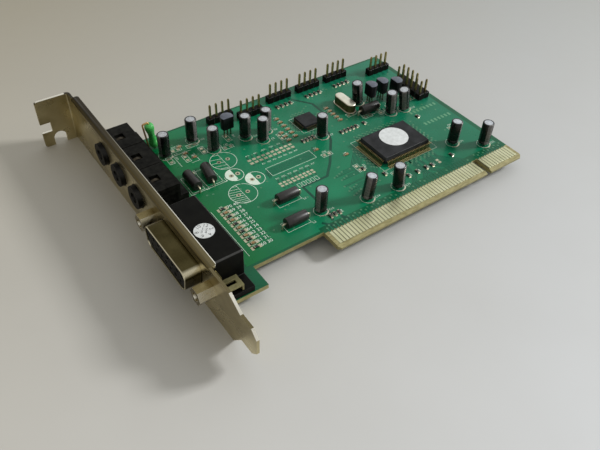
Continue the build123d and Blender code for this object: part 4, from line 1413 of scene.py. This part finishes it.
def make_back_art():
    """The solder side: ring pads, tracks between joints and the second row of fingers."""
    form = Form(*ART_FINISHES)
    chance = random.Random(BACK_SEED)
    spots = [(-spot.x, spot.y) for spot in middles("solder_joints")]
    for x, y in spots:
        form.add(prism(circle(x, y, JOINT_PAD, JOINT_STEPS), 0, PAD_HEIGHT + form.lift()), PLATING)
        other = min(spots, key=lambda place: abs(math.dist((x, y), place) - chance.uniform(*BACK_REACH)))
        across, up = other[0] - x, other[1] - y
        slant = min(abs(across), abs(up))
        corner = (x + math.copysign(slant, across), y + math.copysign(slant, up))
        line = [(x, y)] + [place for place in (corner, other) if math.dist(place, (x, y)) > BACK_LEAST]
        if len(line) == 3 and math.dist(line[1], line[2]) < BACK_LEAST:
            line = line[:2]
        if len(line) > 1:
            trace(form, line, TRACE_BROAD)
    for _ in range(BACK_VIAS):
        via(form, chance.uniform(*BACK_FIELD[:2]), chance.uniform(*BACK_FIELD[2:]))
    for box in islands("edge_fingers"):
        form.add(prism(oblong(-box.middle.x, box.middle.y, *box.size.xy), 0, PAD_HEIGHT), GILT)
    under = on_board(z=-BOARD_THICKNESS) @ Matrix.Rotation(math.pi, 4, "Y")
    form.show("board_back_art", "board", place=under)


def make_camera():
    data = bpy.data.cameras.new("camera")
    data.lens = CAMERA_LENS
    data.sensor_width = CAMERA_SENSOR
    data.clip_start = CAMERA_NEAREST
    camera = placed("camera", data)
    aim = Vector(CAMERA_AIM).to_track_quat("-Z", "Y").to_matrix().to_4x4()
    place = Matrix.Translation(Vector(CAMERA_EYE) * MM)
    camera.matrix_world = place @ aim @ on_board(turn=CAMERA_ROLL)
    bpy.context.scene.camera = camera


def make_light():
    """One window, and a room that glows towards one side."""
    data = bpy.data.lights.new("window", "AREA")
    data.shape = "RECTANGLE"
    data.size = data.size_y = WINDOW_SIZE
    data.energy = WINDOW_POWER
    lamp = placed("window", data)
    side = Vector(SUN_SIDE).normalized()
    lamp.location = side * WINDOW_DISTANCE
    lamp.rotation_mode = "QUATERNION"
    lamp.rotation_quaternion = side.to_track_quat("Z", "Y")
    world = bpy.data.worlds.new("room")
    world.use_nodes = True
    room = Nodes(world.node_tree)
    towards = room.add("VectorMath")
    towards.operation = "DOT_PRODUCT"
    towards.inputs[1].default_value = Vector(GLOW_SIDE).normalized()
    room.links.new(room.add("TexCoord").outputs["Generated"], towards.inputs[0])
    share = room.span(towards.outputs["Value"], 0.0, 1.0, GLOW_EDGE, 1.0, "SMOOTHSTEP")
    sky = room.nodes["Background"].inputs
    room.feed(sky["Color"], room.mix(share, ROOM_COLOUR, GLOW_COLOUR))
    room.feed(sky["Strength"], room.span(share, ROOM_LIGHT, GLOW_LIGHT, 0.0, 1.0))
    bpy.context.scene.world = world


def make_floor():
    mesh = bpy.data.meshes.new("floor")
    mesh.from_pydata(raised(oblong(0, 0, FLOOR_SIZE, FLOOR_SIZE), 0), [], [(0, 1, 2, 3)])
    mesh.materials.append(floor_finish())
    placed("floor", mesh)


paint()
soften(0.28, "bracket")
soften(0.2, "game_port_body", "jack_screw_near", "jack_screw_far")
soften(0.15, *numbered("phone_jack", JACK_COUNT))
soften(0.1, "board_lock_near", "board_lock_far", "controller_chip", "pin_header_block", "game_port_insulator")
soften(0.1, *numbered("pin_header", HEADER_COUNT))
soften(0.05, "codec_chip", "circuit_board", "edge_fingers", "transistor_legs")
make_cans()
make_beads()
make_transistors()
make_choke()
make_crystal()
make_chips("chip_resistors", "resistor_chip", "resistors")
make_chips("chip_capacitors", "capacitor_chip", "ceramics")
make_flat_pack("controller_chip", "controller_leads", "controller_wings", LEAD_TIN)
make_flat_pack("codec_chip", "codec_leads", "codec_wings", LEAD_DULL)
make_pins()
make_stickers()
make_solder()
make_shell()
make_contacts()
make_springs()
make_board_art()
make_back_art()
make_camera()
make_light()
make_floor()
bpy.context.scene.view_settings.view_transform = "Standard"
